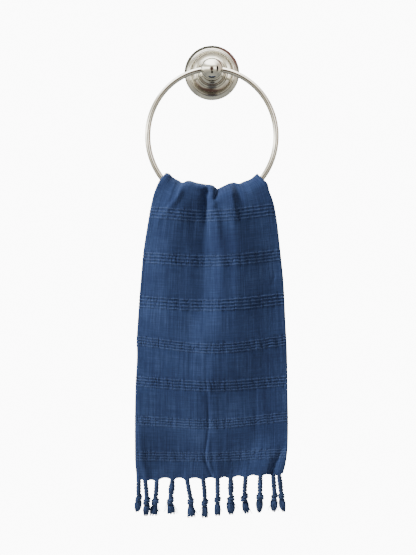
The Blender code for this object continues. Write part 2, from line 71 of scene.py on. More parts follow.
def feed(node, **inputs):
    # a node or a socket gets linked, any other value is set; "_" stands for a space in an input's name
    # and "i2" for the third input
    for name, value in inputs.items():
        key = int(name[1:]) if name[0] == "i" and name[1:].isdigit() else name.replace("_", " ")
        if isinstance(value, bpy.types.Node):
            value = next(socket for socket in value.outputs if socket.enabled)
        if isinstance(value, bpy.types.NodeSocket):
            node.id_data.links.new(value, node.inputs[key])
        else:
            node.inputs[key].default_value = value
    return node


def setStops(elements, stops):
    # places and colours of a ramp
    while len(elements) < len(stops):
        elements.new(0.5)
    for element, (place, colour) in zip(elements, stops):
        element.position = place
        element.color = linear(colour)


def addNode(tree, kind, settings=None, **inputs):
    node = tree.nodes.new("ShaderNode" + kind)
    for name, value in (settings or {}).items():
        if name == "stops":
            setStops(node.color_ramp.elements, value)
        else:
            setattr(node, name, value)
    return feed(node, **inputs)


def perMm(*sizes):
    # scale of a pattern from its size in each direction
    return tuple(1 / (size * mm) for size in sizes) + (1,)


def newMaterial(name):
    material = bpy.data.materials.new(name)
    material.use_nodes = True
    return material, partial(addNode, material.node_tree), material.node_tree.nodes["Principled BSDF"]


def newPiece(name, mesh, material):
    mesh.materials.clear()
    mesh.materials.append(material)
    piece = bpy.data.objects.new(name, mesh)
    bpy.context.scene.collection.objects.link(piece)
    return piece


def smoothThrough(knots, values, at):
    # a smooth curve through a short table, level past its ends
    knots = np.array(knots, float)
    values = np.array(values, float)
    slopes = np.diff(values) / np.diff(knots)
    tangents = np.concatenate([slopes[:1], (slopes[1:] + slopes[:-1]) / 2, slopes[-1:]])
    at = np.clip(at, knots[0], knots[-1])
    i = np.clip(np.searchsorted(knots, at) - 1, 0, len(knots) - 2)
    span = knots[i + 1] - knots[i]
    t = (at - knots[i]) / span
    return (
        (2 * t**3 - 3 * t**2 + 1) * values[i]
        + (t**3 - 2 * t**2 + t) * span * tangents[i]
        + (3 * t**2 - 2 * t**3) * values[i + 1]
        + (t**3 - t**2) * span * tangents[i + 1]
    )


def bell(distance, width):
    return np.exp(-((distance / width) ** 2))


def slowNoise(rng, length):
    # a wavy line of about unit height, made of a few sines of random length and phase
    waves = [(length * rng.uniform(0.6, 2.2), rng.uniform(0, 2 * math.pi)) for _ in range(5)]
    return lambda x: sum(np.sin(2 * math.pi * x / long + phase) for long, phase in waves) / math.sqrt(5)


# towel ring: rosette, post with its ball, and the bent wire

lathe = {
    "steps": 144,  # round the axis
    "cornerSteps": 4,
    "cornerShare": 0.45,  # of a side, the most that a rounding takes up
    "mergeWithin": 0.002,
}

ringLow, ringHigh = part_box("towel_ring")
ringMake = {
    "wireRadius": 3.5,
    "spring": 1.2,  # the bent wire stands this much wider open than the solid's
    "plane": (ringLow.y + ringHigh.y) / 2 / mm,
    "steps": 360,  # along the wire
    "roundness": 10,  # bevel resolution of the wire
}
ringMake["halfWidth"] = (ringHigh.x - ringLow.x) / 2 / mm - ringMake["wireRadius"] + ringMake["spring"]
ringMake["halfHeight"] = (ringHigh.z - ringLow.z) / 2 / mm - ringMake["wireRadius"]

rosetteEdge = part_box("wall_rosette")[1].x / mm
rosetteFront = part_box("wall_rosette")[0].y / mm
rosetteMake = {
    "corners": (  # radius, depth and rounding of each, from the wall out to the post
        (0, 0, 0), (rosetteEdge, 0, 0.1), (rosetteEdge, -0.3, 0.2), (31.2, -8.8, 0.4), (30.4, -9.4, 0.4),
        (29.9, -8.9, 0.2), (29.4, -9.5, 0.3), (28.2, -9.9, 1.0), (26.9, -9.5, 0.7), (26.2, -8.0, 0.4),
        (25.4, -7.4, 0.4), (20.6, -8.3, 0.5), (20.0, -9.4, 0.5), (18.4, -9.9, 0.6), (17.6, -11.4, 0.5),
        (17.0, rosetteFront, 0.5), (0, rosetteFront, 0),
    ),
}

postMake = {
    "foot": rosetteFront - 0.3,  # a little clear of the rosette
    "neck": (  # radius, distance from the foot and rounding of each corner
        (0, 0, 0), (15.4, 0, 0.4), (16.2, 1.8, 1.4), (15.2, 3.8, 0.7), (12.9, 4.6, 0.6), (11.0, 9.0, 4),
        (9.7, 16.6, 1.6), (12.2, 18.6, 1.0), (12.9, 21.3, 1.6), (12.2, 24.0, 1.0), (9.5, 25.8, 0.6),
        (10.6, 28.4, 1.2), (8.9, 30.6, 0.5), (8.6, 33.4, 0.3),
    ),
    "ballRadius": ringMake["plane"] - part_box("ball_post")[0].y / mm,
    "ballSteps": 28,
    "boreClearance": 0.45,
    "boreSteps": 180,
    "boreRoundness": 6,
    "sharpAngle": 40,
}


def softened(corners):
    # each corner (radius, depth, rounding) turned to a short arc
    places = [Vector(corner[:2]) for corner in corners]
    points = [places[0]]
    share = lathe["cornerShare"]
    for before, corner, after, (_, _, rounding) in zip(places, places[1:], places[2:], corners[1:]):
        reach = min(rounding, (corner - before).length * share, (after - corner).length * share)
        start = corner + (before - corner).normalized() * reach
        end = corner + (after - corner).normalized() * reach
        for i in range(lathe["cornerSteps"] + 1):
            t = i / lathe["cornerSteps"]
            points.append(start * (1 - t) ** 2 + corner * 2 * t * (1 - t) + end * t**2)
    return points + [places[-1]]


def turned(profile):
    # spun about the post's own axis, which is Y
    bm = bmesh.new()
    points = [bm.verts.new((radius * mm, depth * mm, 0)) for radius, depth in profile]
    edges = [bm.edges.new(pair) for pair in zip(points, points[1:])]
    bmesh.ops.spin(
        bm, geom=points + edges, axis=(0, 1, 0), angle=2 * math.pi, steps=lathe["steps"], use_merge=True
    )
    bmesh.ops.remove_doubles(bm, verts=bm.verts, dist=lathe["mergeWithin"] * mm)
    bmesh.ops.recalc_face_normals(bm, faces=bm.faces)
    return finishedMesh(bm)


def finishedMesh(bm, sharpAngle=None):
    mesh = bpy.data.meshes.new("made")
    bm.to_mesh(mesh)
    bm.free()
    mesh.shade_smooth()
    if sharpAngle:
        mesh.set_sharp_from_angle(angle=math.radians(sharpAngle))
    return mesh


def ringPoints(count):
    angle = 2 * math.pi * np.arange(count) / count
    return np.stack([
        ringMake["halfWidth"] * np.sin(angle),
        np.full(count, ringMake["plane"]),
        ringMake["halfHeight"] * (np.cos(angle) - 1),
    ], axis=1)


def tubes(lines, roundness, closed=False):
    # one mesh of round tubes: each line is (points, radii) in millimetres
    curve = bpy.data.curves.new("tubes", "CURVE")
    curve.dimensions = "3D"
    curve.bevel_depth = mm
    curve.bevel_resolution = roundness
    curve.use_fill_caps = not closed
    for points, radii in lines:
        spline = curve.splines.new("POLY")
        spline.points.add(len(points) - 1)
        places = np.concatenate([np.asarray(points) * mm, np.ones((len(points), 1))], axis=1)
        spline.points.foreach_set("co", places.ravel())
        spline.points.foreach_set("radius", np.broadcast_to(radii, len(points)).astype(float).copy())
        spline.use_cyclic_u = closed
        spline.use_smooth = True
    guide = bpy.data.objects.new("tubes", curve)
    mesh = bpy.data.meshes.new_from_object(guide)
    bpy.data.objects.remove(guide)
    bpy.data.curves.remove(curve)
    return mesh


def makeRosette(metal):
    rosette = newPiece("wallRosette", turned(softened(rosetteMake["corners"])), metal)
    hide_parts("wall_rosette")
    return rosette


def makePost(metal):
    neck = [(wide, postMake["foot"] - out, rounding) for wide, out, rounding in postMake["neck"]]
    middle, radius = ringMake["plane"], postMake["ballRadius"]
    angles = np.linspace(math.asin(neck[-1][0] / radius), math.pi, postMake["ballSteps"])
    ball = [(radius * math.sin(a), middle + radius * math.cos(a)) for a in angles[:-1]]
    profile = [tuple(p) for p in softened(neck)] + ball + [(0, middle - radius)]
    post = newPiece("ballPost", turned(profile), metal)
    hole = (ringPoints(postMake["boreSteps"]), ringMake["wireRadius"] + postMake["boreClearance"])
    cutter = newPiece("ringBore", tubes([hole], postMake["boreRoundness"], closed=True), metal)
    bore = post.modifiers.new("bore", "BOOLEAN")
    bore.object = cutter
    bore.operation = "DIFFERENCE"
    bore.solver = "EXACT"
    bpy.context.view_layer.update()
    bored = bpy.data.meshes.new_from_object(post.evaluated_get(bpy.context.evaluated_depsgraph_get()))
    post.modifiers.clear()
    post.data = bored
    bored.shade_smooth()
    bored.set_sharp_from_angle(angle=math.radians(postMake["sharpAngle"]))
    bpy.data.objects.remove(cutter)
    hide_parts("ball_post")
    return post


def makeRing(metal):
    wire = (ringPoints(ringMake["steps"]), ringMake["wireRadius"])
    ring = newPiece("towelRing", tubes([wire], ringMake["roundness"], closed=True), metal)
    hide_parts("towel_ring")
    return ring


def polishedNickel():
    # nickel plate, buffed: near-mirror with a warm tone, faint polishing haze and a soft waviness
    material, add, shader = newMaterial("polished nickel plate")
    look = {"metal": "d6d2c6", "cool": "c4c3bc", "buffing": 2.5, "waviness": 9.0, "roughness": (0.06, 0.15)}
    place = add("TexCoord").outputs["Object"]
    haze = add("TexNoise", Vector=place, Scale=1 / (look["buffing"] * mm), Detail=4, Roughness=0.6)
    wave = add("TexNoise", Vector=place, Scale=1 / (look["waviness"] * mm), Detail=2)
    tone = add("ValToRGB", {"stops": [(0.35, look["cool"]), (0.65, look["metal"])]}, Fac=wave)
    smooth, dull = look["roughness"]
    rough = add("MapRange", Value=haze, To_Min=smooth, To_Max=dull)
    bump = add("Bump", Height=wave, Strength=0.25, Distance=0.3 * mm)
    feed(shader, Base_Color=tone, Roughness=rough, Normal=bump, Metallic=1.0)
    return material


nickel = polishedNickel()
ringPieces = [makeRosette(nickel), makePost(nickel), makeRing(nickel)]
for piece in ringPieces:
    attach(piece, "root")
print("towel ring: rosette, bored post and wire are turned and bent")


# towel: one woven sheet, folded once lengthwise and hung over the ring

towelMake = {
    "cut": (400, 700),  # width and length before it was folded and hung
    "thickness": 1.5,
    "layerStep": 3.5,  # between the middles of the two layers
    "wireClearance": 0.4,
    "wireShare": 0.95,  # of the ring's half width, the most that cloth lies on
    "shoulder": (48, 57),  # between these the layers are pressed together, rounding the ring's sides
    "shoulderPress": 1.3,
    "wrapHeight": {"outer": 14.0, "inner": 6.0},  # of the rounded bend over the ring
    "foldBulge": 2.4,
    "selvedgeStep": 2.0,  # the inner layer's selvedge stands this far inside the outer one
    "selvedgeSway": 0.04,  # radians for each row
    "backRise": 62.0,  # the back hem hangs this much higher than the front one
    "limit": {-1: -70.2, 1: -49.8},  # beside the ring the outer layer stays outside these
    "limitSoftness": 1.0,
    "limitFade": (190.0, 225.0),
    "rightFallFrom": 36.0,
    "outerColumns": 132,
    "turnColumns": 7,
    "innerColumns": 36,
    "centreCrowding": 0.04,
    "bendRows": 14,
    "fallRows": 8,  # from the bend to the first band
    "rowStep": {"band": 0.58, "backBand": 1.2, "plain": 3.2, "backPlain": 4.6},
    "keepEvery": {"band": 8, "plain": 2},  # the weft lines that the hidden faces keep
}
outline = {  # x of the folded side and of the selvedges at each height
    "down": (133, 146, 154, 169, 192, 230, 268, 330, 345, 360, 400, 481, 500, 516),
    "left": (
        -58.0, -65.4, -68.8, -73.6, -78.1, -84.3, -88.0, -92.4, -93.2, -92.6, -94.1, -94.6, -94.4, -93.2,
    ),
    "right": (58.4, 70.2, 72.2, 77.6, 82.1, 86.6, 90.6, 93.8, 94.7, 95.3, 96.0, 95.9, 93.5, 89.2),
}
crest = {  # the top edge of the bunched cloth where it goes over the ring
    "x": (
        -64, -61, -58, -55.5, -53, -50, -43, -37.5, -30, -20, -8, 1, 6.4, 12, 21, 28, 33, 41, 50, 54, 57, 60,
        62.5, 65,
    ),
    "down": (
        136.7, 133, 132, 132.4, 134.2, 137.2, 141.2, 144.2, 141.7, 144.2, 146.4, 147.8, 152.2, 149.6, 145.6,
        144.2, 145.7, 142.8, 139.2, 135.8, 133.4, 132.6, 134.7, 138.2,
    ),
}
crestDips = ((-27, 8, 13), (6, 8, 9), (34, 6, 10))  # the inner layer sags here: x, depth, half width
ribBands = [  # each has four raised ribs: its height at the left, middle and right, their pitch and rise
    {"line": (182.5, 186.9, 178.4), "pitch": 4.2, "rise": 0.6},
    {"line": (239.6, 243.8, 235.8), "pitch": 4.0, "rise": 0.62},
    {"line": (295.5, 300.0, 291.7), "pitch": 4.2, "rise": 0.7},
    {"line": (345.4, 354.6, 344.4), "pitch": 3.5, "rise": 0.65},
    {"line": (396.5, 402.2, 395.9), "pitch": 3.7, "rise": 0.6},
    {"line": (445.4, 450.0, 441.3), "pitch": 3.3, "rise": 0.45},
    {"line": (490.2, 491.7, 487.3), "pitch": 3.3, "rise": 0.4},
]
ribMake = {
    "halfWidth": 0.75,
    "places": (-1.5, -0.5, 0.5, 1.5),  # of the ribs, in pitches from the band's middle
    "trough": 0.3,  # the cloth sinks this share of a rib's height between two ribs
    "edge": 2.6,  # from the last rib to the flat cloth
    "troughEdge": 0.5,
    "tuckEdge": 2.2,  # how far past the last rib the small tucks reach
    "tuckFade": 1.4,
    "wobble": 0.22,
    "wobbleLength": 9.0,
    "fade": 0.22,
    "taper": 5,  # columns over which the ribs end at the lengthwise fold
    "seed": 3,
}
hemLine = (517.2, 517.6, 511.6)
panelDepth = {
    -1: {
        "down": (140, 165, 195, 255, 309, 360, 410, 459, 517),
        "y": (-75.0, -76.2, -76.5, -73.5, -71.0, -71.0, -73.0, -73.0, -70.5),
    },
    1: {"down": (140, 185, 300, 456), "y": (-46.5, -47.0, -49.5, -52.0)},
}
looseness = {"down": (180, 240), "share": (0.6, 0.12)}  # how much less the inner layer folds
rightFall = {"down": (140, 200, 260, 517), "slope": (0.07, 0.10, 0.06, 0.03)}  # the right side turns away
frontFolds = {  # each row is (down, x, height towards the viewer, half width)
    "left crease": (
        (146, -37, 1.2, 4), (162, -41, 1.8, 3.8), (173, -49, 1.7, 4.2), (190, -61, 0.9, 6.5),
        (212, -74, 0, 9),
    ),
    "left edge turns back": (
        (146, -72, -3.0, 14), (165, -80, -7.0, 19), (195, -88, -10.8, 19), (255, -94, -12.2, 22),
        (309, -98, -7.6, 24), (360, -100, -3.4, 26), (410, -101, 0, 26),
    ),
    "left rise": (
        (385, -98, 0, 28), (430, -95, 3.0, 33), (459, -94, 4.2, 36), (490, -92, 3.2, 34), (517, -90, 2.0, 30),
    ),
    "left lobe": (
        (148, -32, 2.2, 12), (163, -37, 3.8, 18), (178, -40, 3.4, 20), (200, -47, 2.0, 22),
        (225, -52, 1.4, 20), (270, -56, 0, 20),
    ),
    "centre valley": (
        (150, -4, -3.5, 4.5), (158, -6, -7, 5), (168, -8, -7.5, 5.5), (180, -8.5, -6.5, 6),
        (195, -7, -3.6, 6.5), (217, -8, -2.0, 7.5), (245, -10, 0, 9),
    ),
    "diagonal trough": (
        (165, -16, 0, 11), (195, -18, -2.6, 15), (225, -11, -4.2, 14), (255, -9, -3.8, 13),
        (309, -14, -2.6, 14), (350, -28, 0, 16),
    ),
    "centre ridge": (
        (155, -1, 2.6, 4.5), (172, 0, 3.2, 5), (192, 4, 2.6, 6), (217, 9, 2.4, 7), (255, 12, 2.2, 8),
        (309, 10, 1.6, 11), (350, 5, 0.4, 10), (447, 4, 0.6, 7.5), (487, 1, 1.0, 7.5), (517, 9, 1.2, 7.5),
    ),
    "right lobe": (
        (147, 18, 1.0, 10), (157, 21, 4.4, 14), (172, 24, 6.0, 17), (195, 26, 4.6, 21), (225, 33, 3.4, 24),
        (255, 34, 0, 28),
    ),
    "centre rise": (
        (215, 34, 0, 30), (255, 33, 4.2, 32), (309, 24, 5.6, 38), (360, 8, 4.8, 48), (410, -12, 3.0, 32),
        (459, -18, 1.4, 22), (517, -24, 1.0, 18),
    ),
    "notch": ((150, 7.5, -5.0, 4), (158, 6.5, -5.0, 4), (166, 4, -1.5, 4), (174, 3, 0, 4)),
    "right valley": (
        (147, 29, -4.5, 4.5), (154, 32, -5.2, 5), (163, 35, -3.4, 5.6), (174, 37, -1.4, 7), (188, 38, 0, 6),
    ),
    "right nick": ((144, 35, 2.0, 5), (150, 39, -2.2, 5), (158, 44, -1.5, 5), (166, 47, 0, 5)),
    "right band": (
        (182, 27, 0, 6), (197, 30, 0.8, 6), (225, 32, 0.8, 6), (255, 32, 0.7, 7), (309, 30, 0.6, 7),
        (340, 30, 0, 8),
    ),
    "right trough": (
        (180, 70, 0, 26), (225, 76, -2.0, 27), (255, 78, -3.5, 28), (309, 80, -3.0, 28), (360, 84, -3.6, 34),
        (410, 80, -6.8, 56), (435, 77, -7.0, 54), (459, 77, -6.4, 52), (485, 54, -4.2, 36),
        (517, 24, -3.0, 18),
    ),
    "right hem rise": ((465, 64, 0, 14), (495, 62, 1.6, 14), (517, 62, 2.2, 13)),
    "left turn": ((440, -92, 0, 5), (470, -91, 1.6, 5), (500, -88, 2.2, 5), (517, -83, 1.8, 5)),
    "right corner": ((470, 91, 0, 5), (488, 86, -2.4, 5), (503, 79, -3.0, 5), (517, 75, -2.2, 5)),
}
backFolds = {
    "left belly": ((150, -44, 2.0, 14), (200, -47, 4.2, 18), (330, -50, 2.6, 22), (456, -52, 2.0, 22)),
    "valley": ((150, -10, -2.6, 9), (190, -12, -3.2, 10), (300, -14, -2.4, 12), (456, -15, -2.4, 12)),
    "ridge": ((150, 14, 3.0, 9), (200, 16, 4.0, 11), (330, 18, 2.4, 13), (456, 20, 2.2, 13)),
    "right valley": ((150, 38, -2.0, 8), (200, 42, -2.4, 9), (300, 46, -1.6, 11), (456, 48, -1.8, 12)),
    "right belly": ((150, 54, 0.5, 8), (230, 64, 2.4, 11), (340, 70, 1.6, 12), (456, 72, 1.6, 12)),
}
frontCreases = {  # finer folds that only the cloth's surface shows
    "sharp edge of the ridge": (
        (154, -2.5, 1.0, 2.0), (163, -3.5, 1.5, 2.0), (190, -2, 1.2, 2.4), (217, 0, 0.7, 3), (245, 2, 0, 3.5),
    ),
    "slot": ((148, 8.5, -3.6, 2.2), (157, 7.4, -4.2, 2.2), (163, 4.6, -3.2, 2.2), (169, 2.6, 0, 2.2)),
    "rim of the slot": ((166, 3, 0, 3), (171, 3, 1.2, 3), (177, 3, 0, 3.5)),
    "second line of the left crease": (
        (146, -47, 0.9, 2), (166, -55, 0.9, 2.2), (190, -68, 0.7, 2.6), (205, -72, 0, 3),
    ),
    "first line of the left crease": (
        (146, -37, 1.2, 1.8), (162, -43, 1.5, 2.0), (173, -52, 1.3, 2.2), (190, -65, 0.8, 2.6),
        (206, -71, 0, 3),
    ),
    "edge of the right lobe": (
        (150, 24, 1.0, 2.6), (172, 27, 1.2, 2.8), (190, 28, 0.8, 3), (205, 28, 0, 3.5),
    ),
    "nick by the right edge": ((255, 80, 0, 2), (262, 79, -0.9, 1.8), (272, 77, -0.8, 1.8), (280, 76, 0, 2)),
    "middle crease": (
        (340, -5, 0, 1.8), (375, -7, -0.4, 1.8), (409, -6, -0.6, 1.8), (447, -4.5, -0.9, 1.8),
        (470, -6, -1.1, 1.8), (487, -8.6, -1.2, 2), (496, -8.4, -1.5, 2.2), (508, -4, -1.5, 2.2),
        (517, 0, -1.4, 2.2),
    ),
    "middle lip": (
        (400, -2.8, 0, 2.6), (447, -1.6, 0.25, 2.4), (470, -3.4, 0.5, 2.2), (487, -5.4, 0.7, 2.2),
        (496, -5, 1.0, 2.2), (508, -0.6, 1.0, 2.2), (517, 3.6, 1.0, 2.4),
    ),
    "corner groove": ((484, 88, 0, 2), (492, 84, -1.2, 2), (503, 77.5, -1.6, 2.2), (517, 76, -1.0, 2.2)),
}
backCreases = {
    "middle crease": ((200, -12, 0, 3), (300, -14, -0.6, 3), (456, -15, -0.8, 3)),
}
frontRolls = {  # folds that lie across: (x, down, height, half width in height)
    "rolled lip": (
        (-33, 147, 0, 3), (-27, 147, 1.4, 3.4), (-14, 149.5, 2.8, 3.4), (-4, 151.5, 3.6, 3.6),
        (2, 153, 0, 3.6),
    ),
    "shade under the lip": (
        (-30, 154, 0, 4), (-22, 155.5, -0.6, 4), (-12, 157, -2.6, 4), (-5, 158, -3.2, 4), (0, 160, 0, 4),
    ),
}
folds = {-1: frontFolds, 1: backFolds}
creases = {-1: frontCreases, 1: backCreases}
rolls = {-1: frontRolls, 1: {}}


def lineHeight(line, u):
    # of a weft line, u = 0 at the fold and 1 at the selvedges
    return smoothThrough((0, 0.5, 1), line, u)


def outlineX(u, down):
    left = smoothThrough(outline["down"], outline["left"], down)
    right = smoothThrough(outline["down"], outline["right"], down)
    return left + (right - left) * u


def foldDepth(table, across, along):
    # height of all folds of a table, each row (along, across, height, half width)
    depth = np.zeros_like(across)
    for rows in table.values():
        places = [row[0] for row in rows]
        centre, rise, width = (smoothThrough(places, [row[k] for row in rows], along) for k in (1, 2, 3))
        depth += rise * bell(across - centre, width)
    return depth


def aboveWire(x):
    # height at which the middle of a layer clears the ring's lower arc
    share = np.minimum(np.abs(x) / ringMake["halfWidth"], towelMake["wireShare"])
    rise = np.sqrt(1 - share**2)
    slope = ringMake["halfHeight"] / ringMake["halfWidth"] * share / rise
    reach = ringMake["wireRadius"] + towelMake["wireClearance"] + towelMake["thickness"] / 2
    return ringMake["halfHeight"] * (1 + rise) - reach * np.hypot(1, slope)


def crestHeight(ply, x):
    top = smoothThrough(crest["x"], crest["down"], x) + towelMake["thickness"] / 2
    press = towelMake["shoulderPress"] * smoothThrough(towelMake["shoulder"], (0, 1), abs(x))
    step = towelMake["layerStep"] - press
    outer = np.minimum(top, aboveWire(x) - step)
    if ply == "outer":
        return outer
    sag = sum(depth * bell(x - centre, width) for centre, depth, width in crestDips)
    return np.minimum(outer + step + sag, aboveWire(x))


def panelY(side, ply, x, down):
    # depth of one layer of the front panel (side -1) or the back panel (side 1)
    limit = towelMake["limit"][side]
    soft = towelMake["limitSoftness"]
    y = smoothThrough(panelDepth[side]["down"], panelDepth[side]["y"], down)
    y = y + side * (foldDepth(folds[side], x, down) + foldDepth(rolls[side], down, x))
    y = y + side * foldDepth(creases[side], x, down)
    if side < 0:
        slope = smoothThrough(rightFall["down"], rightFall["slope"], down)
        y += slope * np.maximum(0, x - towelMake["rightFallFrom"])
    held = limit + side * soft * np.log1p(np.exp(side * (y - limit) / soft))
    y = held + (y - held) * smoothThrough(towelMake["limitFade"], (0, 1), down)
    if ply == "outer":
        return y
    loose = smoothThrough(looseness["down"], looseness["share"], down)
    return y - side * (towelMake["layerStep"] + loose * np.maximum(0, side * (y - limit)))


def layerPoints(row, ply, u):
    # the middle of one layer along a weft line
    side = row["side"]
    sway = math.sin(row["order"] * towelMake["selvedgeSway"])
    selvedge = 0.0 if ply == "outer" else towelMake["selvedgeStep"] - sway
    if "turn" not in row:
        down = lineHeight(row["line"], u)
        if row.get("hem"):
            down = down + row["hem"] * hemDrop(outlineX(u, down))
        x = outlineX(u, down) - selvedge * u
        return np.stack([x, panelY(side, ply, x, down), -down], axis=1)
    crestX = outlineX(u, 0) - selvedge * u
    bend = min(row["turn"], 1) * math.pi / 2
    down = crestHeight(ply, crestX) + towelMake["wrapHeight"][ply] * (1 - math.cos(bend))
    if row["turn"] > 1:  # past the bend, part of the way to the first band
        down = down + (lineHeight(row["line"], u) - down) * (row["turn"] - 1)
    out = math.sin(bend)
    x = crestX + (outlineX(u, down) - selvedge * u - crestX) * out
    y = ringMake["plane"] + (panelY(side, ply, x, down) - ringMake["plane"]) * out
    return np.stack([x, y, -down], axis=1)


def spaced(start, end, step):
    # rows between two weft lines, the first one left out
    count = max(2, round(float(np.max(np.abs(np.subtract(end, start)))) / step))
    return [np.add(start, np.subtract(end, start) * (i + 1) / count) for i in range(count)]


def plainRows(start, end, step):
    every = towelMake["keepEvery"]["plain"]
    lines = spaced(start, end, step)
    return [{"line": line, "keep": i % every == every - 1} for i, line in enumerate(lines)]


def bandsOf(side):
    # number and sizes of each band; the back has none just under the ring
    return list(enumerate(ribBands))[0 if side < 0 else 1 :]


def halfBand(band):
    return ribMake["places"][-1] * band["pitch"]


def riseOf(side):
    # the back hangs higher than the front
    return 0 if side < 0 else towelMake["backRise"]


def panelRows(side):
    # weft lines of one panel from the crest to its hem
    rise = riseOf(side)
    step = towelMake["rowStep"]["band" if side < 0 else "backBand"]
    plainStep = towelMake["rowStep"]["plain" if side < 0 else "backPlain"]
    every = towelMake["keepEvery"]["band"]
    rows = []
    for number, band in bandsOf(side):
        middle = np.subtract(band["line"], rise)
        reach = halfBand(band) + ribMake["edge"]
        if rows:
            rows += plainRows(line, middle - reach, plainStep)
            rows[-1]["keep"] = True
        else:
            bends = np.arange(1, towelMake["bendRows"]) / towelMake["bendRows"]
            falls = np.linspace(1, 2, towelMake["fallRows"], endpoint=False)
            for turn in [*bends, *falls]:
                rows.append({"turn": float(turn), "line": middle - reach, "keep": len(rows) % 2 == 0})
            rows.append({"line": middle - reach, "keep": True})
        ribbed = spaced(middle - reach, middle + reach, step)
        for i, line in enumerate(ribbed):
            keep = i % every == every - 1 or i == len(ribbed) - 1
            rows.append({"line": line, "band": number, "offset": float(line[1] - middle[1]), "keep": keep})
        line = middle + reach
    hem = np.subtract(hemLine, rise)
    rows += plainRows(line, hem, plainStep / 2)
    rows += [{"line": hem, "hem": share, "keep": True} for share in hemMake["shares"]]
    return [{"side": side} | row for row in rows]


def towelRows():
    front = panelRows(-1)
    top = dict(front[0], turn=0.0, keep=True)
    rows = front[::-1] + [top] + panelRows(1)
    for order, row in enumerate(rows):
        row["order"] = order
    return rows


def hemDrop(x):
    # the hem is drawn down at each strand, and sags near the folded corner
    roots = np.array(strands["root"])
    nearest = np.min(np.abs(np.asarray(x)[..., None] - roots), axis=-1)
    drawn = (hemMake["root"] - hemMake["between"]) * np.exp(-nearest / hemMake["scallop"])
    return hemMake["between"] + drawn + hemMake["sag"] * bell(x - hemMake["sagAt"], hemMake["sagWidth"])


hemMake = {
    "shares": (0.4, 0.75, 1.0),  # of its drop, for each of its last weft lines
    "between": 0.2,  # how far it is drawn down between two strands and at a strand's root
    "root": 4.6,
    "scallop": 4.2,
    "gather": 0.7,  # height of the gathers over the roots
    "gatherDown": 515.5,
    "gatherWidth": 2.2,
    "gatherHeight": 7.0,
    "sag": 2.6,
    "sagAt": -78,
    "sagWidth": 12,
}
strands = {  # one column for each front strand: roots, knots and tips across, their heights and radii
    "root": (-92.5, -84.6, -69.9, -49.8, -31.8, -11.4, 7.0, 24.1, 42.8, 61.6, 77.6, 84.6),
    "knot": (-92.7, -82.5, -71.8, -52.7, -26.9, -9.0, 7.2, 24.1, 41.3, 61.0, 79.4, 88.0),
    "tip": (-94.5, -83.5, -74.5, -51.5, -26.2, -9.2, 7.0, 24.0, 44.0, 59.8, 78.2, 90.4),
    "knotDown": (545.8, 549.2, 550.0, 549.0, 550.2, 551.4, 547.6, 547.6, 545.2, 544.4, 543.8, 543.4),
    "tipDown": (561.5, 566, 566, 564.5, 568.5, 569, 567, 565.2, 564, 562, 561.6, 561.6),
    "knotRadius": (4.6, 5.0, 5.2, 4.9, 4.7, 4.9, 4.6, 5.1, 5.2, 5.3, 4.5, 4.3),
    "knotLean": (0.4, 0.5, -0.2, 0.8, -0.3, 0.2, -0.4, 0.5, 1.1, -1.2, 0.9, -0.6),
    "tailRadius": (4.6, 4.5, 5.4, 5.5, 5.7, 4.7, 4.8, 5.8, 5.0, 4.8, 4.9, 4.5),
    "flare": (0.0, 0.2, 1.0, 0.8, 1.0, 0.7, 0.6, 0.0, 0.3, 0.0, 0.0, 0.1),
    "belly": (0.2, 0.3, 0.2, 1.6, 0.1, 0.0, 0.0, 1.4, 0.0, 0.0, 0.4, 0.0),
    "wisps": (2, 2, 12, 9, 2, 4, 1, 3, 3, 2, 3, 2),
}
reliefMake = {
    "seed": 11,
    "halfWidth": 95,  # of the hung towel
    "edges": (-94, 94),
    "deepest": 0.9,  # no hollow goes deeper into the cloth than this
    # short puckers cross each band, evenly jittered: spacing and depth for each band
    "puckers": {
        "spacing": (9.5, 6.8, 6.4, 6.2, 6.2, 7.5, 9.0), "depth": (0.35, 0.6, 0.8, 0.9, 0.85, 0.5, 0.3),
        "share": (0.1, 1.3), "jitter": 0.38, "width": (0.9, 1.5), "lean": (0.12, 0.16), "past": 3.0,
    },
    # wider bumps between them
    "bumps": {"count": 16, "width": (2.0, 4.5), "height": 0.28},
    # soft wrinkles run down the cloth between the bands
    "wrinkles": {
        "count": 46, "x": (-92, 92), "down": (175, 512), "width": (2.5, 8.0), "height": 0.34,
        "length": (16, 70), "lean": 0.05,
    },
}


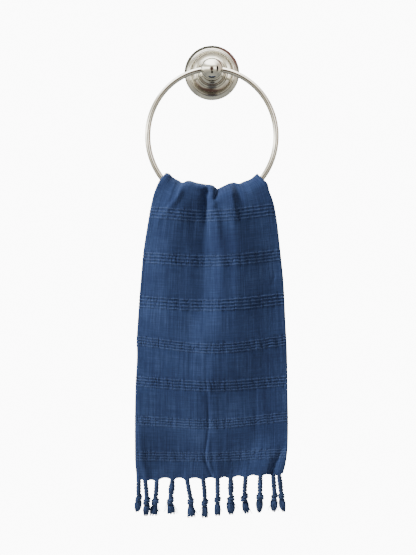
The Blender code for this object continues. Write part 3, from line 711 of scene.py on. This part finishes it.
def reliefOf(rows, points, outerCount):
    # small height of the face that shows over the cloth's main folds
    rng = np.random.default_rng(reliefMake["seed"])
    relief = np.zeros(points.shape[:2])
    x = points[..., 0]
    down = -points[..., 2]
    sideOf = np.array([row["side"] for row in rows])[:, None]
    inside = (np.arange(points.shape[1]) < outerCount)[None, :]
    wrinkles, puckers, bumps = (reliefMake[name] for name in ("wrinkles", "puckers", "bumps"))
    wide = reliefMake["halfWidth"]
    edges = reliefMake["edges"]
    for side in (-1, 1):
        rise = riseOf(side)
        there = (sideOf == side) & inside
        for _ in range(wrinkles["count"]):
            centre = (rng.uniform(*wrinkles["x"]), rng.uniform(*wrinkles["down"]) - rise)
            width = rng.uniform(*wrinkles["width"])
            length = rng.uniform(*wrinkles["length"])
            height = rng.normal() * wrinkles["height"]
            lean = rng.normal() * wrinkles["lean"]
            across = x - centre[0] - lean * (down - centre[1])
            relief += there * height * bell(across, width) * bell(down - centre[1], length)
        for number, band in bandsOf(side):
            half = halfBand(band) + puckers["past"]
            spacing = puckers["spacing"][number]
            crossing = [
                (place + rng.uniform(-1, 1) * puckers["jitter"] * spacing, rng.uniform(*puckers["width"]),
                 -puckers["depth"][number] * rng.uniform(*puckers["share"]))
                for place in np.arange(*edges, spacing)
            ]
            crossing += [
                (rng.uniform(*edges), rng.uniform(*bumps["width"]), rng.normal() * bumps["height"])
                for _ in range(bumps["count"])
            ]
            for place, width, height in crossing:
                lean = puckers["lean"][0] + rng.normal() * puckers["lean"][1]
                u = np.clip((place + wide) / (2 * wide), 0, 1)
                middle = float(lineHeight(np.subtract(band["line"], rise), u))
                across = x - place - lean * (down - middle)
                relief += there * height * bell(across, width) * np.exp(-(((down - middle) / half) ** 4))
        near = bell(np.minimum(down - (hemMake["gatherDown"] - rise), 0), hemMake["gatherHeight"])
        for root in strands["root"]:
            relief += there * near * hemMake["gather"] * bell(x - root, hemMake["gatherWidth"])
    return relief


def ribOf(rows, points, fineCount):
    # raised ribs on the face that shows, how much of a rib each point is, and how much of a band
    rng = np.random.default_rng(ribMake["seed"])
    lift = np.zeros(points.shape[:2])
    share = np.zeros(points.shape[:2])
    zone = np.zeros(points.shape[:2])
    taper = np.clip((fineCount - np.arange(fineCount)) / ribMake["taper"], 0, 1)
    waves = {}
    for i, row in enumerate(rows):
        if "band" not in row:
            continue
        key = (row["side"], row["band"])
        if key not in waves:  # the puckers push each band's ribs up and down and make them fade
            waves[key] = [slowNoise(rng, ribMake["wobbleLength"]) for _ in range(2)]
        x = points[i, :fineCount, 0]
        band = ribBands[row["band"]]
        offset = row["offset"] + ribMake["wobble"] * waves[key][0](x)
        strength = 1 + ribMake["fade"] * waves[key][1](x)
        ridge = sum(bell(offset - k * band["pitch"], ribMake["halfWidth"]) for k in ribMake["places"])
        between = 1 - np.minimum(ridge, 1)
        inBand = bell(row["offset"], halfBand(band) + ribMake["troughEdge"]) ** 0.5
        rise = band["rise"] * (ridge - ribMake["trough"] * between * inBand)
        tucked = (halfBand(band) + ribMake["tuckEdge"] - abs(row["offset"])) / ribMake["tuckFade"]
        lift[i, :fineCount] = rise * strength * taper
        share[i, :fineCount] = np.minimum(ridge, 1) ** 2 * taper
        zone[i, :fineCount] = min(max(tucked, 0), 1) * taper
    return lift, share, zone


def sheetNormals(points):
    normal = np.cross(np.gradient(points, axis=0), np.gradient(points, axis=1))
    return normal / np.linalg.norm(normal, axis=2, keepdims=True)


def towelColumns():
    # places across: along the outer layer, round the lengthwise fold, and back along the inner layer
    t = 1 - np.arange(towelMake["outerColumns"] + 1) / towelMake["outerColumns"]
    outer = t + towelMake["centreCrowding"] * np.sin(2 * math.pi * t)
    turn = np.arange(1, towelMake["turnColumns"] + 1) * math.pi / (towelMake["turnColumns"] + 1)
    inner = np.arange(towelMake["innerColumns"] + 1) / towelMake["innerColumns"]
    return outer, turn[:, None], inner


def sheetLine(row, columns):
    outerU, turn, innerU = columns
    outer = layerPoints(row, "outer", outerU)
    inner = layerPoints(row, "inner", innerU)
    start, end = outer[-1], inner[0]
    middle = (start + end) / 2
    bulge = min(towelMake["foldBulge"], np.linalg.norm(start - end) / 2)
    fold = middle + (start - middle) * np.cos(turn) + np.array((-bulge, 0, 0)) * np.sin(turn)
    return np.concatenate([outer, fold, inner])


def gridLayers(bm, rows, columns):
    rowOf = bm.verts.layers.int.new("row")
    columnOf = bm.verts.layers.int.new("column")
    for vert in bm.verts:
        vert[columnOf] = round((vert.co.x + 0.5) * (columns - 1))
        vert[rowOf] = round((vert.co.y + 0.5) * (rows - 1))
    return rowOf, columnOf


def thinHidden(bm, rows, fineCount, shown, rowOf, columnOf):
    # only the face that shows keeps every weft line
    spare = []
    for edge in bm.edges:
        a, b = edge.verts
        if a[rowOf] != b[rowOf] or rows[a[rowOf]]["keep"]:
            continue
        fine = a in shown and b in shown and a[columnOf] < fineCount and b[columnOf] < fineCount
        through = (a in shown) != (b in shown)
        if not fine and not through:
            spare.append(edge)
    bmesh.ops.dissolve_edges(bm, edges=spare, use_verts=True)
    many = [face for face in bm.faces if len(face.verts) > 4]
    bmesh.ops.triangulate(bm, faces=many, ngon_method="BEAUTY")


def weaveSheet():
    # a grid, given its thickness by an extrusion, then laid on the folds
    rows = towelRows()
    columns = towelColumns()
    fineCount = len(columns[0]) + towelMake["turnColumns"] - 1
    middle = np.array([sheetLine(row, columns) for row in rows])
    normal = sheetNormals(middle)
    rib, ribShare, bandShare = ribOf(rows, middle, fineCount)
    relief = np.maximum(reliefOf(rows, middle, len(columns[0])) + rib, -reliefMake["deepest"])
    across = np.concatenate([[0], np.cumsum(np.linalg.norm(np.diff(middle, axis=1), axis=2).mean(axis=0))])
    along = np.concatenate([[0], np.cumsum(np.linalg.norm(np.diff(middle, axis=0), axis=2).mean(axis=1))])
    print(f"towel: {len(rows)} rows, {middle.shape[1]} columns, {across[-1]:.0f} by {along[-1]:.0f} mm flat")
    bm = bmesh.new()
    bmesh.ops.create_grid(bm, x_segments=middle.shape[1] - 1, y_segments=len(rows) - 1, size=0.5)
    shareOf = bm.verts.layers.float.new("rib")
    zoneOf = bm.verts.layers.float.new("band")
    rowOf, columnOf = gridLayers(bm, len(rows), middle.shape[1])
    shown = set(bm.verts)
    bmesh.ops.extrude_face_region(bm, geom=bm.faces[:], use_keep_orig=True)
    half = towelMake["thickness"] / 2
    for vert in bm.verts:
        i, j = vert[rowOf], vert[columnOf]
        reach = half + relief[i, j] if vert in shown else -half
        vert.co = (middle[i, j] + normal[i, j] * reach) * mm
        vert[shareOf] = ribShare[i, j]
        vert[zoneOf] = bandShare[i, j]
    thinHidden(bm, rows, fineCount, shown, rowOf, columnOf)
    bmesh.ops.recalc_face_normals(bm, faces=bm.faces)
    tape = bm.loops.layers.uv.new("tape")  # the UV map is a tape measure on the flat cloth, in metres
    for face in bm.faces:
        for corner in face.loops:
            corner[tape].uv = (across[corner.vert[columnOf]] * mm, along[corner.vert[rowOf]] * mm)
    for name in ("row", "column"):
        bm.verts.layers.int.remove(bm.verts.layers.int[name])
    return finishedMesh(bm)


def washedCotton():
    # loosely woven cotton, dyed indigo and washed soft: matt, with slubby warp streaks, paler ribs and
    # painted shade along the small tucks
    material, add, shader = newMaterial("washed indigo cotton weave")
    look = {
        "deep": "1f2a4b", "blue": "29385c", "pale": "3e5079", "ribPale": "5f749d", "fuzz": "9db8dc",
        "thread": 1.15,  # spacing drawn, the real one near 0.6 is too fine to show
        "warpSlub": (1.5, 60.0),  # width and length of a slubby streak
        "weftSlub": (25, 1.2),
        "patch": 45.0,  # size of the washed-out patches
        "tuck": (5.2, 26.0),  # width and length of the small tucks that cross the ribs
        "tuckLean": 0.12,
        "weftShare": 0.36,  # of the slubs
        "patchShare": 0.28,
        "ribTone": 0.3,
        # how dark the painted shade in the small tucks is
        "paintedTuckShade": 0.34,
    }
    flat = {"noise_dimensions": "2D"}
    times = {"operation": "MULTIPLY"}
    tape = add("UVMap", {"uv_map": "tape"}).outputs["UV"]
    warpMap = add("Mapping", Vector=tape, Scale=perMm(*look["warpSlub"]))
    warp = add("TexNoise", flat, Vector=warpMap, Scale=1.0, Detail=5.0, Roughness=0.65)
    weftMap = add("Mapping", Vector=tape, Scale=perMm(*look["weftSlub"]))
    weft = add("TexNoise", flat, Vector=weftMap, Scale=1.0, Detail=4.0, Roughness=0.6)
    patch = add("TexNoise", flat, Vector=tape, Scale=1 / (look["patch"] * mm), Detail=3.0)
    woven = add("Mix", Factor=look["weftShare"], i2=warp, i3=weft)
    worn = add("Mix", Factor=look["patchShare"], i2=woven, i3=patch)
    dyes = {"stops": [(0.34, look["deep"]), (0.5, look["blue"]), (0.7, look["pale"])]}
    dye = add("ValToRGB", dyes, Fac=worn)
    rib = add("Attribute", {"attribute_name": "rib"}).outputs["Fac"]
    ribTone = add("Math", times, i0=rib, i1=look["ribTone"])
    colour = add("Mix", {"data_type": "RGBA"}, Factor=ribTone, i6=dye, i7=linear(look["ribPale"]))
    tuckMap = add("Mapping", Vector=tape, Rotation=(0, 0, look["tuckLean"]), Scale=perMm(*look["tuck"]))
    tuckNoise = add("TexNoise", flat, Vector=tuckMap, Scale=1.0, Detail=1.0)
    middles = {"stops": [(0.43, "000000"), (0.5, "ffffff"), (0.57, "000000")]}
    tuckLine = add("ValToRGB", middles, Fac=tuckNoise)
    band = add("Attribute", {"attribute_name": "band"}).outputs["Fac"]
    # the small tucks are grooved by a bump below and also drawn darker here: painted shade in their grooves
    tuck = add("Math", times, i0=tuckLine, i1=band)
    paintedTuckShade = add("Math", times, i0=tuck, i1=look["paintedTuckShade"])
    shaded = add("Mix", {"data_type": "RGBA"}, Factor=paintedTuckShade, i6=colour, i7=linear(look["deep"]))
    scale = math.pi / 10 / (look["thread"] * mm)  # at a scale of 1 a wave is pi / 10 long
    threads = [
        add("TexWave", {"bands_direction": across}, Vector=tape, Scale=scale, Distortion=0.8, Detail=2.0)
        for across in "XY"
    ]
    warpThread, weftThread = (thread.outputs["Fac"] for thread in threads)
    crossing = add("Math", {"operation": "MAXIMUM"}, i0=warpThread, i1=weftThread)
    threadBump = add("Bump", Height=crossing, Strength=0.35, Distance=0.12 * mm)
    slubBump = add("Bump", Height=woven, Strength=0.5, Distance=0.9 * mm, Normal=threadBump)
    tuckBump = add("Bump", {"invert": True}, Height=tuck, Strength=0.7, Distance=1.0 * mm, Normal=slubBump)
    feed(shader, Base_Color=shaded, Normal=tuckBump, Roughness=0.92, Specular_IOR_Level=0.25)
    feed(shader, Sheen_Weight=0.15, Sheen_Roughness=0.5, Sheen_Tint=linear(look["fuzz"]))
    return material


towel = newPiece("towel.cloth", weaveSheet(), washedCotton())
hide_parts("towel")
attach(towel, "root")
print(f"towel: {len(towel.data.polygons)} faces woven, folded and hung")


# fringe: warp ends twisted in pairs, knotted and brushed out below the knot

fringeMake = {
    "rootRise": 2.0,  # a strand starts this far inside the hem
    "hemSamples": 600,
    "plyRadius": 1.65,
    "plyCircle": 1.45,  # half the distance between the middles of the two plies
    "twistPitch": 8.4,
    "cordSteps": 36,
    "cordWander": 0.4,
    "cordRoundness": 2,  # bevel resolution
    "knotHalfHeight": 4.1,
    "coreRadius": 1.3,
    "coreSwell": 0.9,
    "coreSteps": 8,
    "knotLayerShare": 0.9,  # of the layers' lean that is reached at the knot
    "wrapRadius": 1.95,
    "wrapTurns": 1.55,
    "wrapSteps": 22,
    "yarns": 22,
    "yarnRadius": 0.72,
    "yarnTwist": 0.5,
    "yarnSpread": (0.8, 1.0),  # of the tail's half width
    "yarnLength": (0.88, 1.06),  # of the tail's length
    "wispRadius": 0.25,
    "wispSpread": (1.0, 1.9),
    "wispLength": (0.6, 1.05),
    "tailSteps": 8,
    "layerLean": 8.5,  # the layer nearer the wall has its strands pushed this far back
    "innerShorter": 2.0,
    "sharpAngle": 70,
    "seed": 5,
}


def strandPlace(root, number, side, outer):
    # knot and tip of one strand: the front table, or the same turned round for the back
    rise = riseOf(side)
    lean = fringeMake["layerLean"] if outer == (side > 0) else 0.0
    shorter = 0.0 if outer else fringeMake["innerShorter"]
    table = {key: values[number] for key, values in strands.items()}
    knotX, tipX = (root[0] + (table[key] - table["root"]) * -side for key in ("knot", "tip"))
    knotY = root[1] + lean * fringeMake["knotLayerShare"]
    return table | {
        "root": root,
        "knot": np.array((knotX, knotY, -table["knotDown"] + rise + shorter)),
        "tip": np.array((tipX, root[1] + lean, -table["tipDown"] + rise + shorter)),
        "belly": table["belly"] if outer else 0.0,
    }


def pliesOf(strand, rng):
    # two plies twisted round each other from the hem to the knot, swollen where the cord has a belly
    up = np.array((0, 0, fringeMake["knotHalfHeight"]))
    neck = strand["knot"] + up * 0.6
    t = np.linspace(0, 1, fringeMake["cordSteps"])
    length = np.linalg.norm(neck - strand["root"])
    centre = strand["root"] + (neck - strand["root"]) * t[:, None]
    centre[:, 0] += rng.normal() * fringeMake["cordWander"] * np.sin(math.pi * t)
    angle = rng.uniform(0, math.pi) + 2 * math.pi * length * t / fringeMake["twistPitch"]
    swell = strand["belly"] * np.sin(math.pi * np.clip(t * 1.1, 0, 1)) ** 2
    circle = fringeMake["plyCircle"] + swell * 0.5
    radius = fringeMake["plyRadius"] + swell * 0.4
    lines = []
    for ply in (0, math.pi):
        offset = np.stack([np.cos(angle + ply), np.sin(angle + ply), np.zeros_like(angle)], axis=1)
        lines.append((centre + offset * circle[:, None], radius))
    return lines


def knotOf(strand, rng):
    # an overhand knot: a core with the cord about once and a half round it, a little aslant
    half = fringeMake["knotHalfHeight"]
    t = np.linspace(0, 1, fringeMake["wrapSteps"])
    angle = rng.uniform(-0.6, 0.6) + math.pi + 2 * math.pi * fringeMake["wrapTurns"] * t
    circle = (strand["knotRadius"] - fringeMake["wrapRadius"] * 0.85) * np.sin(math.pi * t) ** 0.4
    drop = half * (0.72 - 1.44 * t) + strand["knotLean"] * np.cos(angle)
    wrap = strand["knot"] + np.stack([circle * np.cos(angle), circle * np.sin(angle), drop], axis=1)
    wrapRadius = fringeMake["wrapRadius"] * (0.55 + 0.45 * np.sin(math.pi * t) ** 0.5)
    s = np.linspace(0, 1, fringeMake["coreSteps"])
    core = strand["knot"] + np.array((0, 0, 1)) * (half * (1 - 2 * s))[:, None]
    coreRadius = fringeMake["coreRadius"] + fringeMake["coreSwell"] * np.sin(math.pi * s)
    return [(wrap, wrapRadius), (core, coreRadius)]


def tailProfile(strand, t):
    # half width of the brushed end: a bulb, or a skirt that flares to its cut edge
    bulb = np.sin(math.pi * (0.14 + 0.76 * t)) ** 0.8
    skirt = 0.42 + 0.58 * np.clip(t * 1.15, 0, 1) ** 0.9
    return strand["tailRadius"] * (bulb + (skirt - bulb) * strand["flare"])


def tailOf(strand, rng):
    # the cut ends, brushed out: yarns side by side round a soft body, with a few loose ones
    waist = strand["knot"] - np.array((0, 0, fringeMake["knotHalfHeight"] * 0.7))
    fall = strand["tip"] - waist
    t = np.linspace(0, 1, fringeMake["tailSteps"])
    yarnRadius = fringeMake["yarnRadius"]
    thin = []
    for k in range(fringeMake["yarns"]):
        turn = 2 * math.pi * (k + rng.uniform(-0.3, 0.3)) / fringeMake["yarns"]
        around = turn + fringeMake["yarnTwist"] * t * rng.uniform(0.4, 1.6)
        out = tailProfile(strand, t) * rng.uniform(*fringeMake["yarnSpread"]) - yarnRadius * 0.6
        long = rng.uniform(*fringeMake["yarnLength"])
        side = np.stack([np.cos(around) * out, np.sin(around) * out * 0.85, np.zeros_like(t)], axis=1)
        thin.append((waist + fall * (t * long)[:, None] + side, yarnRadius * (1.1 - 0.5 * t**2)))
    for _ in range(strand["wisps"]):
        around = rng.uniform(0, 2 * math.pi)
        out = strand["tailRadius"] * rng.uniform(*fringeMake["wispSpread"]) * (0.3 + 0.7 * t**1.5)
        long = rng.uniform(*fringeMake["wispLength"])
        side = np.stack([np.cos(around) * out, np.sin(around) * out * 0.5, np.sin(4 * t) * 0.6], axis=1)
        thin.append((waist + fall * (t * long)[:, None] + side, fringeMake["wispRadius"]))
    s = np.linspace(0, 0.88, fringeMake["tailSteps"])
    body = tailProfile(strand, s) * (0.86 - 0.3 * s**3)
    return [(waist + fall * s[:, None], body)], thin


def rootsOf(side, outer):
    # where the strands leave the hem of one layer
    rise = riseOf(side)
    row = {"side": side, "order": 0, "line": np.subtract(hemLine, rise), "hem": 1}
    hem = layerPoints(row, "outer" if outer else "inner", np.linspace(0, 1, fringeMake["hemSamples"]))
    nearest = [np.argmin(np.abs(hem[:, 0] - x)) for x in strands["root"]]
    return [hem[i] + (0, 0, fringeMake["rootRise"]) for i in nearest]


def makeFringe(name, side, yarn):
    rng = np.random.default_rng(fringeMake["seed"] + side)
    thick, thin = [], []
    for outer in (True, False):
        for number, root in enumerate(rootsOf(side, outer)):
            strand = strandPlace(root, number, side, outer)
            tail, yarns = tailOf(strand, rng)
            thick += pliesOf(strand, rng) + knotOf(strand, rng) + tail
            thin += yarns
    bm = bmesh.new()
    bm.from_mesh(tubes(thick, fringeMake["cordRoundness"]))
    bm.from_mesh(tubes(thin, 0))
    bmesh.ops.recalc_face_normals(bm, faces=bm.faces)
    return newPiece(name, finishedMesh(bm, fringeMake["sharpAngle"]), yarn)


def twistedYarn():
    # soft cotton yarn, twisted and dyed with the cloth: matt and fuzzy, in slightly uneven blues
    material, add, shader = newMaterial("twisted indigo cotton yarn")
    look = {
        "deep": "1b2743", "blue": "2a3857", "pale": "3e4f78", "fuzz": "9db8dc",
        "fibre": 0.9, "patch": 7.0, "patchShare": 0.45,
    }
    place = add("TexCoord").outputs["Object"]
    stretch = add("Mapping", Vector=place, Scale=(1, 1, 0.35))
    fibre = add("TexNoise", Vector=stretch, Scale=1 / (look["fibre"] * mm), Detail=4.0, Roughness=0.65)
    patch = add("TexNoise", Vector=place, Scale=1 / (look["patch"] * mm), Detail=2.0)
    mixed = add("Mix", Factor=look["patchShare"], i2=fibre, i3=patch)
    dyes = {"stops": [(0.36, look["deep"]), (0.5, look["blue"]), (0.66, look["pale"])]}
    dye = add("ValToRGB", dyes, Fac=mixed)
    bump = add("Bump", Height=fibre, Strength=0.6, Distance=0.4 * mm)
    feed(shader, Base_Color=dye, Normal=bump, Roughness=0.95, Specular_IOR_Level=0.2)
    feed(shader, Sheen_Weight=0.3, Sheen_Roughness=0.5, Sheen_Tint=linear(look["fuzz"]))
    return material


cottonYarn = twistedYarn()
frontFringe = makeFringe("fringe.front", -1, cottonYarn)
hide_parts("front_fringe")
backFringe = makeFringe("fringe.back", 1, cottonYarn)
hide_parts("back_fringe")
for piece in (frontFringe, backFringe):
    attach(piece, "root")
faces = [len(piece.data.polygons) for piece in (frontFringe, backFringe)]
print(f"fringe: {faces[0]} and {faces[1]} faces, twisted and knotted")


# studio: pale floor, soft light, a painted room for the metal to mirror, and the camera

studioMake = {
    "aim": (-5, -60, -265),  # what the camera looks straight at
    "distance": 3000,
    "heightInView": 705,  # of the picture at the towel
    "sensor": 36,
    "farthest": 50000,
    "floorDrop": 640,  # under the lowest strand
    "floorRadius": 2600,
    "floorSides": 96,
    "floorFade": (500, 2548),  # it turns clear between these distances
    "floorColour": "f4f3f0",
    "backdrop": "fdfdfd",
    "backdropGlow": 11.0,
    "ambientColour": "f3f5fa",
    "ambient": 0.195,
    "reflectionGlow": 9.0,
    # what polished metal sees along each axis, from its low end (0) to its high end (1): the darkest counts
    "reflections": {
        "Z": (  # grey floor, a bright band at eye level, grey wall, bright ceiling
            (0.0, "50504c"), (0.22, "434340"), (0.42, "625f57"), (0.5, "b0aea6"), (0.57, "f0eee6"),
            (0.66, "7a786f"), (0.76, "77746b"), (0.87, "ffffff"),
        ),
        "Y": (  # bright all round but for a shaded strip of the wall behind
            (0.0, "f0f0ea"), (0.5, "ffffff"), (0.74, "e8e8e0"), (0.8, "24241f"), (0.89, "22221d"),
            (0.94, "8a8a80"), (1.0, "a0a098"),
        ),
        "X": (  # a warm white at the left, grey at the far right
            (0.0, "f0e4de"), (0.2, "ffffff"), (0.6, "f4f0ea"), (0.9, "6e665e"), (1.0, "6a625a"),
        ),
    },
    # dark things in the room: the way to each, how many degrees it reaches at its core and rim, how much
    # wider, deeper and taller it stands than a round one, and its colour
    "stands": (
        ((-0.03, -1.0, 0.05), (10, 28), (1, 1, 1), "2c211b"),
        ((-0.04, -1.0, -0.08), (8, 13), (1, 1, 2.0), "1d1412"),
        ((0.02, -0.78, -0.62), (9, 14), (1, 1, 1.6), "020101"),
        ((0.86, -0.51, 0.04), (9, 12), (1, 1, 3), "010101"),
        ((0.5, 0.7, 0.52), (12, 26), (1, 1, 1), "362825"),
        ((0.0, 0.28, -0.96), (7, 11), (3.4, 1, 1), "020202"),
    ),
    "lights": {  # place, size, watts and colour of each soft box
        "key": ((-2147, -1059, 1582), 700, 204, "fffaf2"),
        "fill": ((1900, -2200, 200), 1600, 6, "f2f6ff"),
        "behind": ((900, 1900, 900), 1200, 40, "ffffff"),
    },
}


def addCamera():
    data = bpy.data.cameras.new("camera")
    data.sensor_width = studioMake["sensor"]
    data.lens = studioMake["sensor"] * studioMake["distance"] / studioMake["heightInView"]
    data.clip_end = studioMake["farthest"] * mm
    camera = bpy.data.objects.new("camera", data)
    aim = Vector(studioMake["aim"]) * mm
    camera.location = aim - Vector((0, studioMake["distance"] * mm, 0))
    camera.rotation_euler = (math.pi / 2, 0, 0)
    bpy.context.scene.collection.objects.link(camera)
    bpy.context.scene.camera = camera


def addLights():
    aim = Vector(studioMake["aim"]) * mm
    for name, (place, size, watts, colour) in studioMake["lights"].items():
        data = bpy.data.lights.new(name, "AREA")
        data.shape = "DISK"
        data.size = size * mm
        data.energy = watts
        data.color = linear(colour)[:3]
        light = bpy.data.objects.new(name, data)
        light.location = Vector(place) * mm
        light.rotation_euler = (aim - light.location).to_track_quat("-Z", "Y").to_euler()
        light.visible_glossy = False  # the metal mirrors the painted room instead
        bpy.context.scene.collection.objects.link(light)


def addFloor():
    bm = bmesh.new()
    size, sides = studioMake["floorRadius"] * mm, studioMake["floorSides"]
    bmesh.ops.create_circle(bm, cap_ends=True, segments=sides, radius=size)
    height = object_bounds()[0].z - studioMake["floorDrop"] * mm
    bmesh.ops.translate(bm, verts=bm.verts, vec=(0, 0, height))
    material, add, shader = newMaterial("pale studio floor")
    feed(shader, Base_Color=linear(studioMake["floorColour"]), Roughness=0.8)
    place = add("TexCoord").outputs["Object"]
    level = add("VectorMath", {"operation": "MULTIPLY"}, i0=place, i1=(1, 1, 0))
    away = add("VectorMath", {"operation": "LENGTH"}, i0=level)
    near, far = (distance * mm for distance in studioMake["floorFade"])
    soft = {"interpolation_type": "SMOOTHSTEP"}
    fade = add("MapRange", soft, Value=away, From_Min=near, From_Max=far)
    clear = add("BsdfTransparent")
    mixed = add("MixShader", Fac=fade, i1=shader, i2=clear)
    feed(material.node_tree.nodes["Material Output"], Surface=mixed)
    floor = newPiece("floor", finishedMesh(bm), material)
    floor.visible_glossy = False


def lightWorld():
    # plain and pale to the camera, the painted room to the metal, and an even soft light to all else
    world = bpy.data.worlds.new("studio")
    bpy.context.scene.world = world
    world.use_nodes = True
    world.node_tree.nodes.clear()
    add = partial(addNode, world.node_tree)
    direction = add("TexCoord").outputs["Generated"]
    parts = add("SeparateXYZ", Vector=direction)
    walls = []
    for axis, stops in studioMake["reflections"].items():
        share = add("MapRange", Value=parts.outputs[axis], From_Min=-1.0, From_Max=1.0)
        walls.append(add("ValToRGB", {"stops": stops}, Fac=share))
    seen = walls[0]
    darker = {"data_type": "RGBA", "blend_type": "DARKEN"}
    soft = {"interpolation_type": "SMOOTHSTEP"}
    for wall in walls[1:]:
        seen = add("Mix", darker, Factor=1.0, i6=seen, i7=wall)
    for towards, reach, stretch, colour in studioMake["stands"]:
        squeezed = add("VectorMath", {"operation": "DIVIDE"}, i0=direction, i1=stretch)
        unit = add("VectorMath", {"operation": "NORMALIZE"}, i0=squeezed)
        middle = Vector(along / more for along, more in zip(towards, stretch)).normalized()
        nearness = add("VectorMath", {"operation": "DOT_PRODUCT"}, i0=unit, i1=middle)
        core, rim = (math.cos(math.radians(angle)) for angle in reach)
        covered = add("MapRange", soft, Value=nearness, From_Min=rim, From_Max=core)
        seen = add("Mix", {"data_type": "RGBA"}, Factor=covered, i6=seen, i7=linear(colour))
    mirrored = add("Background", Color=seen, Strength=studioMake["reflectionGlow"])
    even = add("Background", Color=linear(studioMake["ambientColour"]), Strength=studioMake["ambient"])
    plain = add("Background", Color=linear(studioMake["backdrop"]), Strength=studioMake["backdropGlow"])
    path = add("LightPath")
    lit = add("MixShader", Fac=path.outputs["Is Glossy Ray"], i1=even, i2=mirrored)
    whole = add("MixShader", Fac=path.outputs["Is Camera Ray"], i1=lit, i2=plain)
    add("OutputWorld", Surface=whole)


addCamera()
addLights()
addFloor()
lightWorld()
print("studio: floor, lights and camera are set")
